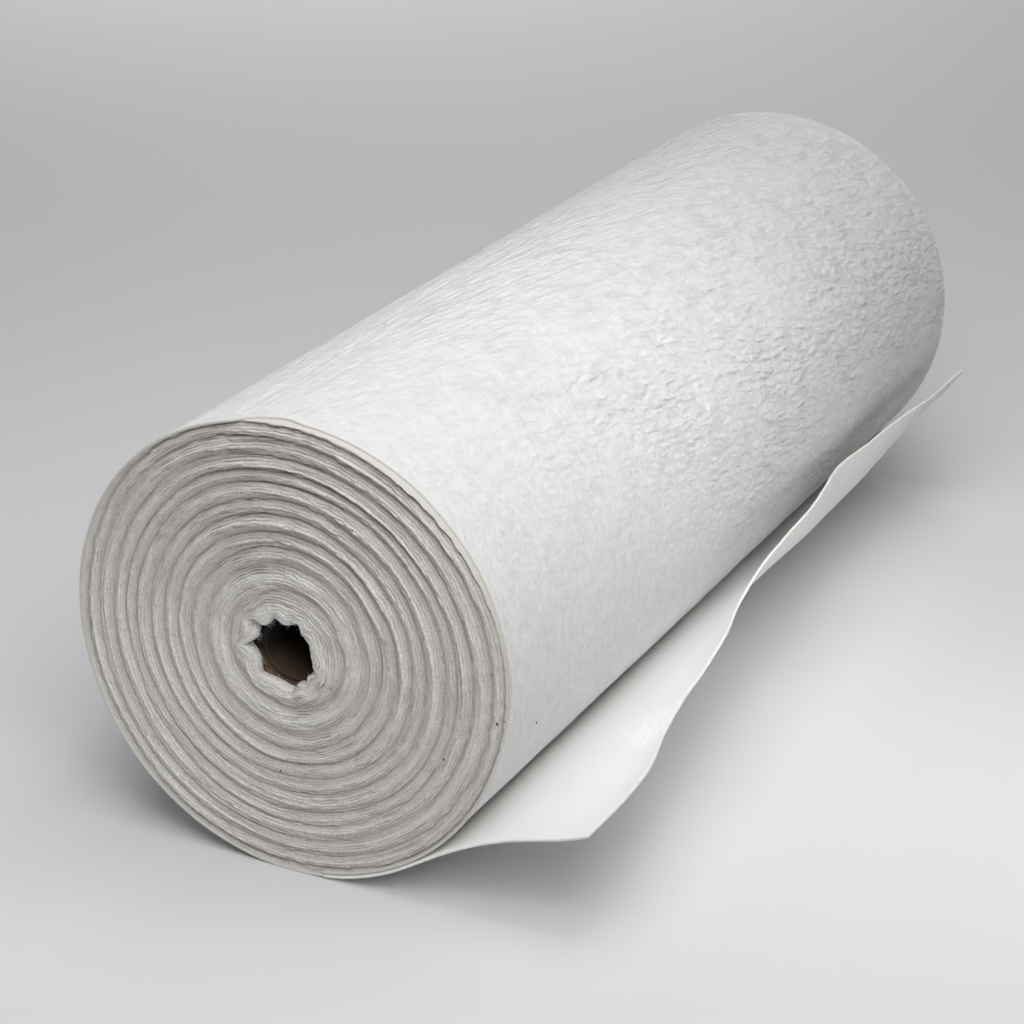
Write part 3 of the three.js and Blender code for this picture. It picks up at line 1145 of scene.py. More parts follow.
@dataclass
class OuterTurn:
    """The last full turn: the felt side that shows, with its wrinkles and both its edges."""

    form: RollForm
    felt: bpy.types.Material
    rim: bpy.types.Material
    seed: int = 21
    # Spacing of the points round the roll, on the side that faces up and right and elsewhere.
    fine: float = 1.6 * MM
    coarse: float = 4.6 * MM
    fine_from: float = 55.0
    fine_to: float = 232.0
    rows: int = 166
    # Two sizes of bumps, round the roll and along it in mm, how high they are and how soft their
    # creases; both lean from the roll's axis.
    bumps_mm: tuple[float, float] = (15.0, 54.0)
    bump_height_mm: float = 1.4
    small_bumps_mm: tuple[float, float] = (8.0, 26.0)
    small_height_mm: float = 0.9
    softness: float = 0.16
    lean: float = 0.22
    # How deep the longer creases and the straight ones near the top are, in mm.
    stray_mm: float = 0.85
    straight_mm: float = 1.0
    # How far the near edge is set back over the upper right and at its nick, in mm.
    slid_mm: float = 9.5
    nick_mm: float = 6.0
    # The cut edge's section: places in from the edge, and below the outer side, in mm.
    section: tuple[tuple[float, float], ...] = (
        (8.0, 2.4),
        (1.2, 2.4),
        (0.2, 1.9),
        (0.0, 1.1),
        (0.3, 0.4),
        (1.4, 0.0),
    )
    # The felt next to the cut edge takes this share of the painted light.
    edge_tone: float = 0.35
    noise: FeltNoise = field(init=False)

    def __post_init__(self) -> None:
        """Draws the felt's noise."""
        self.noise = FeltNoise(self.seed)

    def angles(self) -> np.ndarray:
        """Spaces the columns round the roll, closest where the wrinkles show.

        Returns:
            Their angles.
        """
        stops = (LOOSE_END_START, self.fine_from, self.fine_to, LOOSE_END_START + 360)
        parts = []
        for low, high, spacing in zip(stops[:-1], stops[1:], (self.coarse, self.fine, self.coarse)):
            count = round(math.radians(high - low) * self.form.radius / spacing)
            parts.append(np.linspace(low, high, count, endpoint=False))
        return np.append(np.concatenate(parts), stops[-1])

    def creased(
        self, arc: np.ndarray, y_mm: np.ndarray, cell: tuple[float, float], seed: float
    ) -> np.ndarray:
        """Rounded bumps parted by sharp wavy creases, like a crumpled hide.

        Args:
            arc: Places round the roll, in mm.
            y_mm: Places along it, in mm.
            cell: Size of the bumps round the roll and along it, in mm.
            seed: Shifts the pattern.

        Returns:
            Heights from 0 in the rounded creases to about 0.6.
        """
        wide, long = 1.9 * cell[0], 1.9 * cell[1]
        push = [self.noise.at(arc / wide + s, y_mm / long + s, seed / 1.9 + s) for s in (3.0, 41.0)]
        x = (arc + 4.0 * push[0]) / cell[0] + 57.0
        y = (y_mm + 7.0 * push[1]) / cell[1] + 57.0
        return np.hypot(self.noise.at(x, y, seed + 57.0), self.softness) - self.softness

    def folding(self, angle: np.ndarray, y: np.ndarray) -> np.ndarray:
        """How much the felt is folded: least near the near rim and low down.

        Args:
            angle: Angles round the roll.
            y: Places along the roll.

        Returns:
            Shares from 0 to 1.
        """
        arc = np.radians(angle) * self.form.radius / MM
        y_mm = y / MM
        patch = smooth_step(-0.4, 0.2, self.noise.at(arc / 80, y_mm / 110, 12.0))
        toward_far = smooth_step(-470, -180, y_mm)
        lowest = 150 - 50 * smooth_step(-300, 50, y_mm)
        upper = smooth_step(lowest - 45, lowest, angle) * (1 - smooth_step(212, 300, angle))
        return (0.35 + 0.65 * toward_far) * (0.2 + 0.8 * upper) * (0.6 + 0.4 * patch)

    def wrinkles(self, angle: np.ndarray, y: np.ndarray) -> np.ndarray:
        """Height of the wrinkles, in mm.

        Args:
            angle: Angles round the roll.
            y: Places along the roll.

        Returns:
            The height at each.
        """
        arc = np.radians(angle) * self.form.radius / MM
        y_mm = y / MM
        swell = self.noise.at(arc / 70 + 33, y_mm / 90 + 33, 33.0)
        line = self.noise.at(arc / 7 + 71, y_mm / 180 + 71, 71.0)
        straight = band(196, 226, 12, angle) * (1 - smooth_step(-100, 200, y_mm))
        folded = self.folding(angle, y) * (1 - 0.7 * straight)
        leaning = arc + self.lean * y_mm
        wandering = leaning + 5.0 * self.noise.at(arc / 30 + 27, y_mm / 22 + 27, 27.0)
        stray = self.noise.at(wandering / 22, y_mm / 80, 15.0)
        small = band(self.fine_from, self.fine_to, 10, angle)
        bumps = self.bump_height_mm * self.creased(leaning, y_mm, self.bumps_mm, 0.5)
        bumps += self.small_height_mm * small * self.creased(leaning, y_mm, self.small_bumps_mm, 8.5)
        height = (0.1 + 1.3 * folded) * bumps
        # A few longer creases run across the bumps.
        height -= self.stray_mm * (0.25 + 0.75 * folded) * np.exp(-((stray / 0.07) ** 2))
        height -= self.straight_mm * straight * np.exp(-((line / 0.11) ** 2))
        height += 0.9 * swell - 0.5
        # The turn starts and ends smooth, where it joins the loose end and the turn below.
        return height * smooth_step(0.0, 30.0, np.minimum(angle - 12, 372 - angle) + 8)

    def near_edge(self, angle: np.ndarray) -> np.ndarray:
        """How far the turn's near edge is set back: it has slid along over the upper right.

        Args:
            angle: Angles round the roll.

        Returns:
            The distance at each.
        """
        slid = band(92, 172, 26, angle)
        nick = band(181, 187, 7, angle)
        waver = self.noise.at(angle / 14, 0.0, 4.0)
        flush = smooth_step(0, 45, np.minimum(angle - LOOSE_END_START, LOOSE_END_START + 360 - angle))
        return (self.slid_mm * slid + self.nick_mm * nick + (0.5 + 0.8 * waver) * flush) * MM

    def far_edge(self, angle: np.ndarray) -> np.ndarray:
        """How far the turn's far edge is set back."""
        return (0.9 + 0.9 * self.noise.at(angle / 20, 0.0, 54.0)) * MM

    def build(self) -> list[bpy.types.Object]:
        """Builds the outer turn as two open strips that meet halfway, with rounded edges.

        Returns:
            The near and the far strip.
        """
        angle = self.angles()
        half = self.form.width / 2
        middle = np.zeros_like(angle)
        near = self.strip("outer_turn_near", angle, -half + self.near_edge(angle), middle)
        far = self.strip("outer_turn_far", angle, half - self.far_edge(angle), middle)
        return [near, far]

    def strip(self, name: str, angle: np.ndarray, edge: np.ndarray, inside: np.ndarray) -> bpy.types.Object:
        """Builds a strip of the turn.

        Args:
            name: The piece's name.
            angle: Angles of the columns.
            edge: Where the turn's cut edge lies along the roll at each.
            inside: Where the strip ends inside.

        Returns:
            The strip.
        """
        outline = self.form.outline(angle)
        inward = np.sign(inside - edge)
        grid = []
        for inset, below in self.section:
            grid.append(self.form.place(angle, outline - below * MM, edge + inward * inset * MM))
        start = edge + inward * self.section[-1][0] * MM
        for share in np.linspace(0, 1, self.rows)[1:]:
            y = start * (1 - share) + inside * share
            fade = smooth_step(0, 10 * MM, np.abs(y - edge))
            grid.append(self.form.place(angle, outline + self.wrinkles(angle, y) * MM * fade, y))
        faces = grid_faces(len(grid), len(angle))
        if inward[0] < 0:
            faces = faces[:, ::-1]
        row_of = np.repeat(np.arange(len(grid) - 1), len(angle) - 1)
        # Painted light: from the loose end's start up to here the felt is made lighter and creamier, for the
        # crevice by the loose end.
        painted_light_share = 1 - smooth_step(46.0, 66.0, angle)
        tone = np.tile(painted_light_share, (len(grid), 1))
        tone[: len(self.section)] = self.edge_tone
        folded = np.array([self.folding(angle, row[:, 1]) for row in grid])
        marks = {"tone": tone.ravel(), "folded": folded.ravel()}
        on_edge = row_of < len(self.section) - 1
        return build_mesh(name, np.concatenate(grid), faces, [self.felt, self.rim], on_edge, marks)


# ------------------------------------------------------------------ loose end


@dataclass(frozen=True)
class Station:
    """The loose end at one place along the roll.

    It leaves the roll at an angle, has slopes at one and two thirds of its free length and at its
    cut edge, in degrees, and reaches a length from straight under the axis to the cut edge, in mm.
    """

    y: float
    leaves: float
    inner: float
    outer: float
    edge: float
    length: float


@dataclass
class LooseEnd:
    """The cloth's loose end: film above, felt below, bent in one springy curve."""

    form: RollForm
    film: bpy.types.Material
    felt: bpy.types.Material
    seed: int = 5
    hug_steps: int = 24
    free_steps: int = 70
    rows: int = 210
    # The cut edge waves by this much, once in this length, over its near half.
    wave_mm: float = 7.0
    wave_long_mm: float = 205.0
    wave_crest_mm: float = -415.0
    # How far the sheet bows, its cut edge wanders slowly and finely, and its slit sides waver.
    bow_mm: float = 1.6
    wander_mm: float = 5.0
    fine_nick_mm: float = 0.9
    side_nick_mm: float = 0.8
    # The slit edge's rounding: height as a share of half the thickness, and bulge in mm.
    rounding: tuple[tuple[float, float], ...] = ((0.7, 0.35), (0.0, 0.5), (-0.7, 0.35))
    stations: tuple[Station, ...] = (
        Station(-500, 28, 29, 16, 27, 283),
        Station(-380, 31, 33, 16, 34, 280),
        Station(-200, 37, 34, 34, 50, 275),
        Station(-60, 40, 35, 46, 71, 271),
        Station(60, 36, 31, 50, 83, 268),
        Station(180, 31, 28, 59, 92, 264),
        Station(300, 34, 30, 54, 85, 261),
        Station(400, 36, 36, 48, 66, 259),
        Station(500, 35, 35, 48, 54, 256),
    )

    def station_values(self, y_mm: np.ndarray) -> np.ndarray:
        """Smooth values of the stations.

        Args:
            y_mm: Places along the roll.

        Returns:
            One row for each place: leaves, inner, outer, edge and length.
        """
        known = np.array([station.y for station in self.stations])
        table = np.array([[s.leaves, s.inner, s.outer, s.edge, s.length] for s in self.stations])
        slope = np.gradient(table, known, axis=0)
        before = np.clip(np.searchsorted(known, y_mm, side="right") - 1, 0, len(known) - 2)
        gap = (known[before + 1] - known[before])[:, None]
        t = ((y_mm - known[before]) / gap[:, 0])[:, None]
        start, end = table[before], table[before + 1]
        return (
            (2 * t**3 - 3 * t**2 + 1) * start
            + (t**3 - 2 * t**2 + t) * gap * slope[before]
            + (3 * t**2 - 2 * t**3) * end
            + (t**3 - t**2) * gap * slope[before + 1]
        )

    def middle_line(self, values: np.ndarray) -> tuple[np.ndarray, np.ndarray, np.ndarray]:
        """The sheet's middle line at one station.

        Args:
            values: The station's leaves, inner, outer, edge and length.

        Returns:
            x, z and slope in radians, at each step from the roll to the cut edge.
        """
        leaves, inner, outer, edge, length_mm = values
        angle = np.linspace(LOOSE_END_START, leaves, self.hug_steps + 1)
        radius = self.form.outline(angle) + SEAT_GAP + CLOTH_THICKNESS / 2
        hug = self.form.place(angle, radius, np.zeros_like(angle))
        stride = (length_mm * MM - self.form.radius * math.radians(leaves)) / self.free_steps
        thirds = np.array([0, 1 / 3, 2 / 3, 1])
        slopes = np.radians([leaves, inner, outer, edge])
        share = np.arange(self.free_steps + 1) / self.free_steps
        # Cubic through the four slopes, so that the sheet bends without kinks.
        bend = np.polynomial.Polynomial.fit(thirds, slopes, 3)
        middle = bend((share[1:] + share[:-1]) / 2)
        x = hug[-1, 0] + np.cumsum(stride * np.cos(middle))
        z = hug[-1, 2] + np.cumsum(stride * np.sin(middle))
        slope = np.concatenate([np.radians(angle), bend(share[1:])])
        return np.concatenate([hug[:, 0], x]), np.concatenate([hug[:, 2], z]), slope

    def build(self) -> bpy.types.Object:
        """Builds the sheet as a closed skin: film side, felt side and slit edges.

        Returns:
            The sheet.
        """
        noise = FeltNoise(self.seed)
        half_mm = self.form.width / 2 / MM
        y_mm = np.linspace(-half_mm, half_mm, self.rows)
        lines = [self.middle_line(values) for values in self.station_values(y_mm)]
        x = np.array([line[0] for line in lines])
        z = np.array([line[1] for line in lines])
        slope = np.array([line[2] for line in lines])
        along = np.arange(x.shape[1])
        y = np.repeat(y_mm[:, None] * MM, len(along), axis=1)
        out = np.clip((along - self.hug_steps) / self.free_steps, 0, 1)
        wave = noise.at(x / MM / 60, y / MM / 55, z / MM / 60) * out
        x = x - self.bow_mm * MM * wave * np.sin(slope)
        z = z + self.bow_mm * MM * wave * np.cos(slope)
        far_half = smooth_step(-200, 20, y_mm)
        turn = 2 * np.pi * (y_mm - self.wave_crest_mm) / self.wave_long_mm
        nick = self.fine_nick_mm * noise.at(y_mm / 16, 0.0, 8.0)
        nick += self.wave_mm * np.cos(turn) * (1 - far_half)
        nick += self.wander_mm * noise.at(y_mm / 95, 0.0, 21.0) * far_half
        reach = (nick * MM)[:, None] * out[None, :] ** 3
        x += reach * np.cos(slope)
        z += reach * np.sin(slope)
        for side, shift in ((slice(0, 2), 30.5), (slice(-2, None), 60.5)):
            y[side] += self.side_nick_mm * MM * noise.at(along / 5, 0.0, shift) * out
        # Painted light: the sheet is made lighter near the roll and, toward the far end, all across, where it
        # lies in shade.
        far_along = smooth_step(-330, -120, y_mm)[:, None]
        painted_light = 1 - smooth_step(0.3, 0.75, out)[None, :] * (1 - far_along)
        return self.skin(x, y, z, slope, painted_light)

    def skin(
        self, x: np.ndarray, y: np.ndarray, z: np.ndarray, slope: np.ndarray, painted_light: np.ndarray
    ) -> bpy.types.Object:
        """Wraps the middle surface in its two sides and a rounded slit edge.

        Args:
            x: Places of the middle surface across the roll.
            y: Places along it.
            z: Heights.
            slope: Slopes in radians.
            painted_light: How much painted light the cloth takes, from 0 to 1.

        Returns:
            The sheet.
        """
        half = CLOTH_THICKNESS / 2
        lift = np.stack([-np.sin(slope), np.zeros_like(slope), np.cos(slope)], axis=-1)
        middle = np.stack([x, y, z], axis=-1)
        # The slit edge bulges a little past the sheet's border.
        outward = np.zeros_like(middle)
        outward[:, -1, 0] += np.cos(slope[:, -1])
        outward[:, -1, 2] += np.sin(slope[:, -1])
        outward[0, :, 1] -= 1
        outward[-1, :, 1] += 1
        rows, columns = x.shape
        top = middle + lift * half
        bottom = middle - lift * half
        bottom[..., 2] = np.maximum(bottom[..., 2], 0.0)
        count = rows * columns
        number = np.arange(count).reshape(rows, columns)
        loop = np.concatenate([number[0, :], number[1:, -1], number[-1, -2::-1], number[-2:0:-1, 0]])
        rounds = []
        for height, bulge in self.rounding:
            ring = middle.reshape(-1, 3)[loop] + height * half * lift.reshape(-1, 3)[loop]
            rounds.append(ring + outward.reshape(-1, 3)[loop] * bulge * MM)
        points = np.concatenate([top.reshape(-1, 3), bottom.reshape(-1, 3), *rounds])
        points[:, 2] = np.maximum(points[:, 2], 0.0)
        film = grid_faces(rows, columns)[:, ::-1]
        felt = grid_faces(rows, columns, count)
        size = len(loop)
        inner_rings = [2 * count + k * size + np.arange(size) for k in range(len(rounds))]
        rings = [loop, *inner_rings, loop + count]
        edge = [
            np.stack([upper, np.roll(upper, -1), np.roll(lower, -1), lower], axis=1)
            for upper, lower in zip(rings[:-1], rings[1:])
        ]
        faces = np.concatenate([film, felt, *edge])
        slots = np.repeat([0, 1], [len(film), len(faces) - len(film)])
        tone = painted_light.ravel()
        marks = {"tone": np.concatenate([tone, tone, *[tone[loop]] * len(rounds)])}
        return build_mesh("loose_end_sheet", points, faces, [self.film, self.felt], slots, marks)


# ------------------------------------------------------------------ core


@dataclass
class CoreTube:
    """The cardboard core, a tube with the step of its spirally wound plies inside."""

    form: RollForm
    board: bpy.types.Material
    segments: int = 96
    rows: int = 60
    wall: float = 3 * MM
    # Its ends are worn round by this much.
    worn: float = 1 * MM
    ply_pitch: float = 0.09
    ply_step: float = 0.35 * MM

    def build(self) -> bpy.types.Object:
        """Builds the tube as a closed ring of points, with rounded ends.

        Returns:
            The tube.
        """
        outer = self.form.core_radius
        inner = outer - self.wall
        half = self.form.core_half
        shoulder = half - self.worn
        inside = [(inner, y) for y in np.linspace(-shoulder, shoulder, self.rows)]
        profile = [
            *inside,
            (inner + self.worn / 2, half),
            (outer - self.worn / 2, half),
            (outer, shoulder),
            (outer, -shoulder),
            (outer - self.worn / 2, -half),
            (inner + self.worn / 2, -half),
            inside[0],
        ]
        angle = np.linspace(0, 360, self.segments + 1)
        grid = []
        for radius, y in profile:
            phase = (y / self.ply_pitch + angle / 360) % 1.0
            ply = self.ply_step * smooth_step(0.0, 0.04, phase) * (1 - smooth_step(0.5, 1.0, phase))
            grid.append(self.form.place(angle, radius - ply * (radius < inner + 0.1 * MM), np.array(y)))
        points = np.concatenate(grid)
        return build_mesh("core_board_tube", points, grid_faces(len(grid), len(angle)), [self.board])


# ------------------------------------------------------------------ loose fibres


@dataclass(frozen=True)
class Whiskers:
    """A number of loose fibres of one kind, with their lengths in mm."""

    count: int
    shortest_mm: float
    longest_mm: float
    lift_mm: float


@dataclass
class LooseFibres:
    """Fibres that stand off the felt: at the hole's lip, on the wound ends, the rims and the skin."""

    form: RollForm
    near: WoundEnd
    far: WoundEnd
    turn: OuterTurn
    fibre: bpy.types.Material
    seed: int = 77
    # Real fibres are 0.02 mm thick, so they are drawn about eight times coarser.
    thickness: float = 0.16 * MM
    steps: int = 3
    on_face: Whiskers = Whiskers(950, 4.0, 11.0, 0.7)
    on_lip: Whiskers = Whiskers(110, 1.5, 5.0, 1.2)
    on_rim: Whiskers = Whiskers(200, 1.5, 4.5, 0.6)
    on_skin: Whiskers = Whiskers(1700, 8.0, 26.0, 1.2)
    rng: np.random.Generator = field(init=False)

    def __post_init__(self) -> None:
        """Seeds the fibres' own random numbers."""
        self.rng = np.random.default_rng(self.seed)

    def bundle(self, root: np.ndarray, along: np.ndarray, up: np.ndarray, kind: Whiskers) -> np.ndarray:
        """Points of a set of fibres.

        Args:
            root: Where each fibre starts.
            along: Unit direction of each.
            up: Unit direction in which each may lift.
            kind: Their lengths and lift.

        Returns:
            Points in the order fibre, step, corner.
        """
        count = len(root)
        side = np.cross(along, up)
        length = self.rng.uniform(kind.shortest_mm, kind.longest_mm, count)[:, None] * MM
        curl = self.rng.normal(0, 0.3, count)[:, None]
        lift = self.rng.uniform(0.2, 1.0, count)[:, None] * kind.lift_mm * MM
        rings = []
        for t in np.linspace(0, 1, self.steps + 1):
            centre = root + along * length * t + side * length * curl * t * t
            centre = centre + up * lift * math.sin(math.pi * t * 0.8)
            thin = self.thickness / 2 * (0.15 + 0.85 * math.sin(math.pi * (0.15 + 0.75 * t)))
            corners = [
                centre + thin * (math.cos(turn) * side + math.sin(turn) * up)
                for turn in np.radians((90, 210, 330))
            ]
            rings.append(np.stack(corners, axis=1))
        return np.stack(rings, axis=1)

    def across_face(self, end: WoundEnd) -> np.ndarray:
        """Fibres that lie on a wound end, mostly along its turns.

        Args:
            end: The wound end.

        Returns:
            The fibres' points.
        """
        count = self.on_face.count
        wound = self.rng.uniform(0.5, end.parts[-1] - 0.5, count)
        root, _ = end.face_points(wound, self.rng.uniform(0.3, 0.7, count))
        return self.bundle(root, *self.lying(LOOSE_END_START + 360 * wound, end.side, 0.45), self.on_face)

    def lying(self, angle: np.ndarray, side: EndSide, stray: float) -> tuple[np.ndarray, np.ndarray]:
        """Directions of fibres that lie on an end face.

        Args:
            angle: Angles round the roll.
            side: Which end.
            stray: How far they stray from the turns, in radians.

        Returns:
            The direction of each, along its turn one way or the other, and the face's outward one.
        """
        turn = np.radians(angle) + self.rng.normal(0, stray, len(angle))
        turn = turn + np.pi * self.rng.integers(0, 2, len(angle))
        along = onward(turn)
        up = np.zeros_like(along)
        up[:, 1] = side.value
        return along, up

    def round_lip(self, end: WoundEnd) -> np.ndarray:
        """Fibres that stand into the hole from the lip's throat.

        Args:
            end: The wound end.

        Returns:
            The fibres' points.
        """
        count = self.on_lip.count
        angle = self.rng.uniform(0, 360, count)
        radius_mm = end.throat_radius_mm + end.lean(angle) + end.lip_push(angle) + 0.3
        deep = self.rng.uniform(3.0, 8.5, count) * MM
        root = self.form.place(angle, radius_mm * MM, end.side.value * (self.form.width / 2 - deep))
        turn = np.radians(angle)
        round_axis = onward(turn)
        mix = self.rng.normal(0, 1.0, (count, 1))
        along = mix * round_axis - outward(turn)
        along[:, 1] += 0.5 * end.side.value
        along /= np.linalg.norm(along, axis=1, keepdims=True)
        up = np.cross(along, round_axis)
        up /= np.linalg.norm(up, axis=1, keepdims=True)
        return self.bundle(root, along, up, self.on_lip)

    def over_skin(self, kind: Whiskers, low: float, high: float, start: float, end: float) -> np.ndarray:
        """Fibres on the outer turn.

        Args:
            kind: How many, and their sizes.
            low: Least angle round the roll.
            high: Greatest angle.
            start: Least place along the roll.
            end: Greatest place.

        Returns:
            The fibres' points.
        """
        angle = self.rng.uniform(low, high, kind.count)
        y = self.rng.uniform(start, end, kind.count)
        height = self.turn.wrinkles(angle, y) * MM
        root = self.form.place(angle, self.form.outline(angle) + height - 0.1 * MM, y)
        turn = np.radians(angle)
        heading = self.rng.uniform(0, 2 * np.pi, kind.count)[:, None]
        along = np.cos(heading) * onward(turn) + np.sin(heading) * np.array([0.0, 1.0, 0.0])
        return self.bundle(root, along, outward(turn), kind)

    def build(self) -> bpy.types.Object:
        """Builds all fibres as one piece of thin tapered tubes.

        Returns:
            The fibres.
        """
        half = self.form.width / 2
        sets = [self.across_face(end) for end in (self.near, self.far)]
        sets += [self.round_lip(end) for end in (self.near, self.far)]
        sets.append(self.over_skin(self.on_skin, 55, 240, -half + 0.02, half - 0.02))
        sets.append(self.over_skin(self.on_rim, 60, 350, -half + 0.001, -half + 0.004))
        sets.append(self.over_skin(self.on_rim, 60, 350, half - 0.004, half - 0.001))
        points = np.concatenate(sets)
        number = np.arange(points[..., 0].size).reshape(points.shape[:3])
        low, high = number[:, :-1], number[:, 1:]
        faces = np.stack([low, np.roll(low, -1, 2), np.roll(high, -1, 2), high], axis=-1).reshape(-1, 4)
        return build_mesh("loose_fibres", points.reshape(-1, 3), faces, [self.fibre])


@dataclass(frozen=True)
class Speck:
    """A fleck of dust: its angle, and in mm its radius, its depth from the near end and its size."""

    angle: float
    radius: float
    depth: float
    size: float


@dataclass
class Dust:
    """A few brown flecks that the felt has picked up."""

    form: RollForm
    dust: bpy.types.Material
    clad: list[bpy.types.Object]
    specks: tuple[Speck, ...] = (
        Speck(66.2, 146.5, 1.2, 1.8),
        Speck(84.4, 182.0, 0.2, 2.2),
        Speck(84.8, 184.6, 0.4, 1.4),
        Speck(355, 104.5, 1.4, 1.5),
        Speck(151.6, 129.4, 1.0, 1.3),
        Speck(58, 44.8, 1.5, 1.4),
        Speck(75.5, 188.2, 66.0, 1.8),
    )
    sides: int = 6
    # The rings of a fleck, as shares of half its size: height, and width.
    lump: tuple[tuple[float, float], ...] = ((-1.0, 0.35), (-0.35, 0.9), (0.35, 1.0), (1.0, 0.4))
    # How thick a fleck is along the roll, and how long upward, as shares of its width.
    thick: float = 0.55
    long: float = 1.3

    def surface(self) -> np.ndarray:
        """Gathers the points of the felt that the flecks may sit on.

        Returns:
            One row of x, y and z for each.
        """
        sets = []
        for piece in self.clad:
            flat = np.empty(3 * len(piece.data.vertices), dtype=np.float32)
            piece.data.vertices.foreach_get("co", flat)
            sets.append(flat.reshape(-1, 3))
        return np.concatenate(sets)

    def build(self) -> bpy.types.Object:
        """Builds the flecks as small flattened lumps in one piece, each seated in the felt.

        Returns:
            The flecks.
        """
        points, faces = [], []
        surface = self.surface()
        circle = [(math.cos(t), math.sin(t)) for t in 2 * math.pi * np.arange(self.sides) / self.sides]
        for speck in self.specks:
            y = np.array([speck.depth * MM - self.form.width / 2])
            aim = self.form.place(np.array([speck.angle]), np.array([speck.radius * MM]), y)[0]
            middle = surface[np.argmin(np.linalg.norm(surface - aim, axis=1))]
            size = speck.size * MM / 2
            first = len(points)
            for height, wide in self.lump:
                ring = [np.array([wide * a, self.thick * height, self.long * wide * b]) for a, b in circle]
                points += [middle + size * corner for corner in ring]
            for low in range(first, len(points) - self.sides, self.sides):
                for k in range(self.sides):
                    after = (k + 1) % self.sides
                    faces.append((low + k, low + after, low + self.sides + after, low + self.sides + k))
        return build_mesh("dust_specks", np.array(points), np.array(faces), [self.dust])


# ------------------------------------------------------------------ stage


@dataclass(frozen=True)
class Lamp:
    """A soft lamp: where it hangs, its width and height, and its power in watts.

    It faces its target, or the roll's middle where it has none. Its beam spreads by an angle in degrees.
    """

    name: str
    place: tuple[float, float, float]
    size: tuple[float, float]
    power: float
    target: tuple[float, float, float] | None = None
    spread: float = 180.0


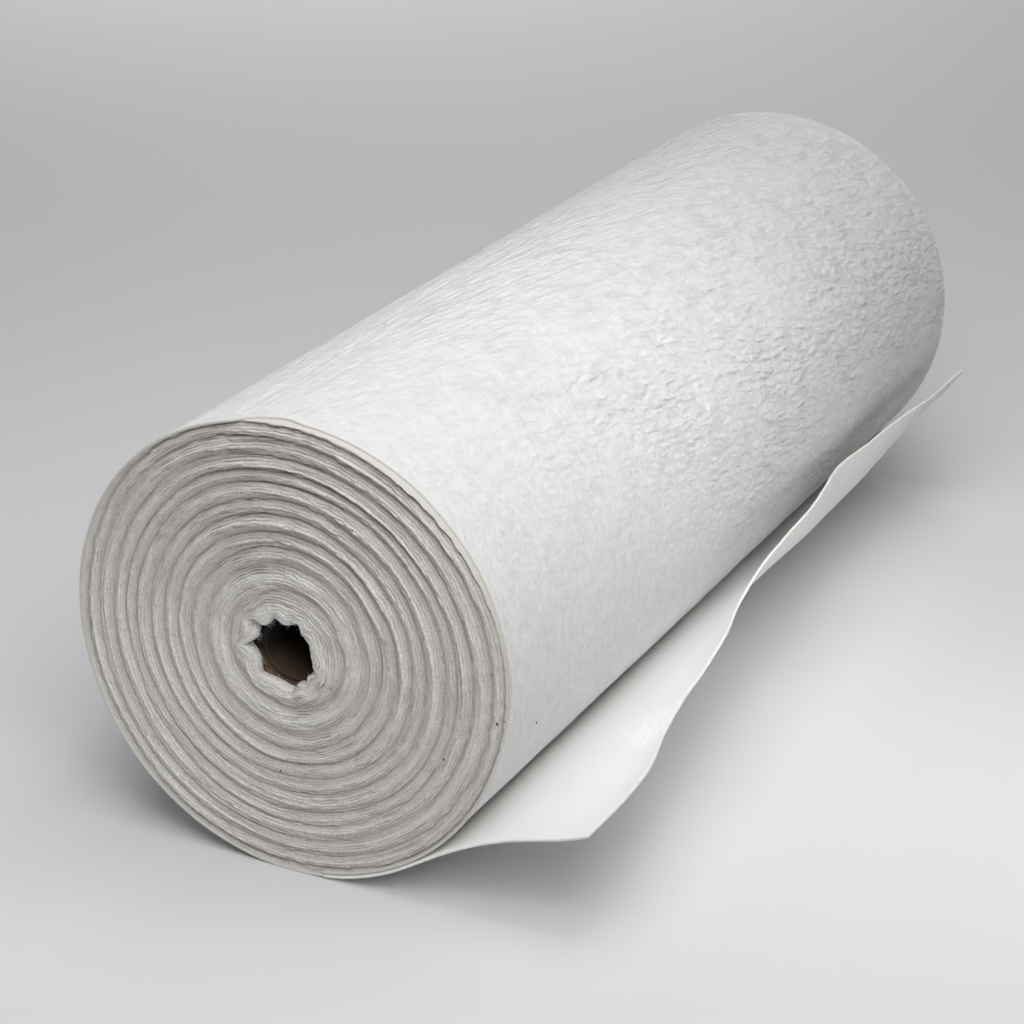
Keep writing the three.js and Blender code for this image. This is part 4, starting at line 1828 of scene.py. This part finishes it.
@dataclass
class Studio:
    """A pale seamless sweep, soft lamps above, and the camera."""

    form: RollForm
    azimuth: float = 26.85
    elevation: float = 22.97
    distance: float = 2.335
    lens_mm: float = 96.2
    aim: tuple[float, float] = (0.029, -0.175)
    sweep_near: str = "#dfdfe1"
    sweep_far: str = "#f7f7f8"
    # The sweep pales along this direction, over this distance.
    pales_along: tuple[float, float, float] = (-0.5, 1.0, 0.0)
    pales_over: float = 2.4
    # Its half size, the radius of its bend and the height that it reaches.
    reach: float = 6.0
    bend: float = 1.5
    height: float = 5.0
    # The world's colour, and its strength for lit surfaces and for the eye.
    sky: str = "#f4f5f7"
    sky_strength: tuple[float, float] = (0.035, 0.5)
    lamps: tuple[Lamp, ...] = (
        Lamp("overhead_lamp", (0.0, 0.0, 2.5), (1.6, 1.6), 15),
        Lamp("near_lamp", (0.3, -1.2, 2.2), (1.6, 1.6), 16),
        Lamp("right_lamp", (1.0, -0.3, 2.3), (1.6, 1.6), 10.5),
        Lamp("front_lamp", (0.9, -1.5, 1.5), (0.9, 0.9), 14),
        Lamp("low_strip", (0.95, -0.1, 0.78), (0.25, 1.2), 0.5, (0.14, -0.1, 0.04), 60),
        Lamp("wash_lamp", (-2.3, 3.4, 2.3), (2.4, 2.4), 46, (-2.3, 3.4, 0)),
    )

    def camera(self) -> None:
        """Places the camera from its angles and distance."""
        data = bpy.data.cameras.new("camera")
        data.lens = self.lens_mm
        data.clip_end = 50
        camera = bpy.data.objects.new("camera", data)
        turn, rise = math.radians(self.azimuth), math.radians(self.elevation)
        back = Vector((math.sin(turn) * math.cos(rise), -math.cos(turn) * math.cos(rise), math.sin(rise)))
        camera.location = Vector((*self.aim, self.form.axis_height)) + back * self.distance
        camera.rotation_mode = "QUATERNION"
        camera.rotation_quaternion = (-back).to_track_quat("-Z", "Y")
        bpy.context.scene.collection.objects.link(camera)
        bpy.context.scene.camera = camera

    def hang(self, lamp: Lamp) -> None:
        """Hangs a lamp.

        Args:
            lamp: The lamp.
        """
        data = bpy.data.lights.new(lamp.name, "AREA")
        data.shape = "RECTANGLE"
        data.size, data.size_y = lamp.size
        data.energy = lamp.power
        data.spread = math.radians(lamp.spread)
        light = bpy.data.objects.new(lamp.name, data)
        light.location = lamp.place
        light.rotation_mode = "QUATERNION"
        aim = Vector(lamp.target or (0, 0, self.form.axis_height))
        light.rotation_quaternion = (aim - light.location).to_track_quat("-Z", "Y")
        bpy.context.scene.collection.objects.link(light)

    def sweep(self) -> bpy.types.Object:
        """Builds the floor, which curves up far behind the roll.

        Returns:
            The floor.
        """
        material, tree = new_material("paper_sweep")
        place = add_node(tree, "TexCoord", output="Object")
        away = add_node(tree, "VectorMath", {0: place, 1: self.pales_along}, "Value", operation="DOT_PRODUCT")
        share = add_node(tree, "MapRange", {"Value": away, "From Min": 0.0, "From Max": self.pales_over})
        greys = {0: share, 6: linear(self.sweep_near), 7: linear(self.sweep_far)}
        colour = add_node(tree, "Mix", greys, 2, data_type="RGBA")
        body = {"Base Color": colour, "Roughness": 0.9, "Specular IOR Level": 0.2}
        add_node(tree, "OutputMaterial", {"Surface": add_node(tree, "BsdfPrincipled", body)})
        reach, bend = self.reach, self.bend
        profile = [(-reach, 0.0), (reach - bend, 0.0)]
        for turn in np.radians(np.linspace(0, 90, 13)[1:]):
            profile.append((reach - bend + bend * math.sin(turn), bend - bend * math.cos(turn)))
        profile.append((reach, self.height))
        sides = np.linspace(-reach, reach, 9)
        grid = [[(x, y, z) for x in sides] for y, z in profile]
        points = np.array(grid).reshape(-1, 3)
        return build_mesh("sweep", points, grid_faces(len(profile), len(sides)), [material])

    def build(self) -> None:
        """Sets the stage, the lamps, the world and the view."""
        self.sweep()
        for lamp in self.lamps:
            self.hang(lamp)
        world = bpy.data.worlds.new("studio")
        bpy.context.scene.world = world
        world.use_nodes = True
        tree = world.node_tree
        tree.nodes.clear()
        seen = add_node(tree, "LightPath", output="Is Camera Ray")
        lit, shown = self.sky_strength
        strength = add_node(tree, "MapRange", {"Value": seen, "To Min": lit, "To Max": shown})
        glow = add_node(tree, "Background", {"Color": linear(self.sky), "Strength": strength})
        add_node(tree, "OutputWorld", {"Surface": glow})
        bpy.context.scene.view_settings.view_transform = "Standard"
        self.camera()


# ------------------------------------------------------------------ assembly


def settle(piece: bpy.types.Object, slot: str, *nodes: str) -> None:
    """Rides a piece on the one body, and hides the solids that it stands for.

    Args:
        piece: The piece.
        slot: Its material slot; not used.
        nodes: The solids that it replaces.
    """
    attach(piece, "root")
    if nodes:
        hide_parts(*nodes)
    LOG.info("%s: %d faces", piece.name, len(piece.data.polygons))


def main() -> None:
    """Builds the studio and the roll's pieces in order."""
    logging.basicConfig(level=logging.INFO, format="%(name)s: %(message)s")
    form = RollForm.from_frame()
    Studio(form).build()
    felt = NeedledFelt().material(form)
    edge = SlitFelt().material(form)
    film = BackingFilm().material()
    board = CoreBoard().material()
    rim = SHADED_FELT_RIM.material()
    near = WoundEnd(form, EndSide.NEAR, edge, rim, board, seed=11)
    far = WoundEnd(form, EndSide.FAR, edge, rim, board, seed=12, segments=180, parts=(0, 74))
    turn = OuterTurn(form, felt, rim)
    clad = [piece for part in (near, far, turn) for piece in part.build()]
    for piece in clad:
        settle(piece, "needled_fleece", "fleece_roll")
    settle(LooseFibres(form, near, far, turn, POLYESTER_FIBRE.material()).build(), "needled_fleece")
    settle(Dust(form, BROWN_DUST.material(), clad).build(), "needled_fleece")
    loose = LooseEnd(form, film, felt)
    sheet = loose.build()
    settle(sheet, "film_side", "loose_end")
    settle(CoreTube(form, INSIDE_BOARD.material()).build(), "cardboard", "core_tube")


if __name__ == "__main__":
    main()
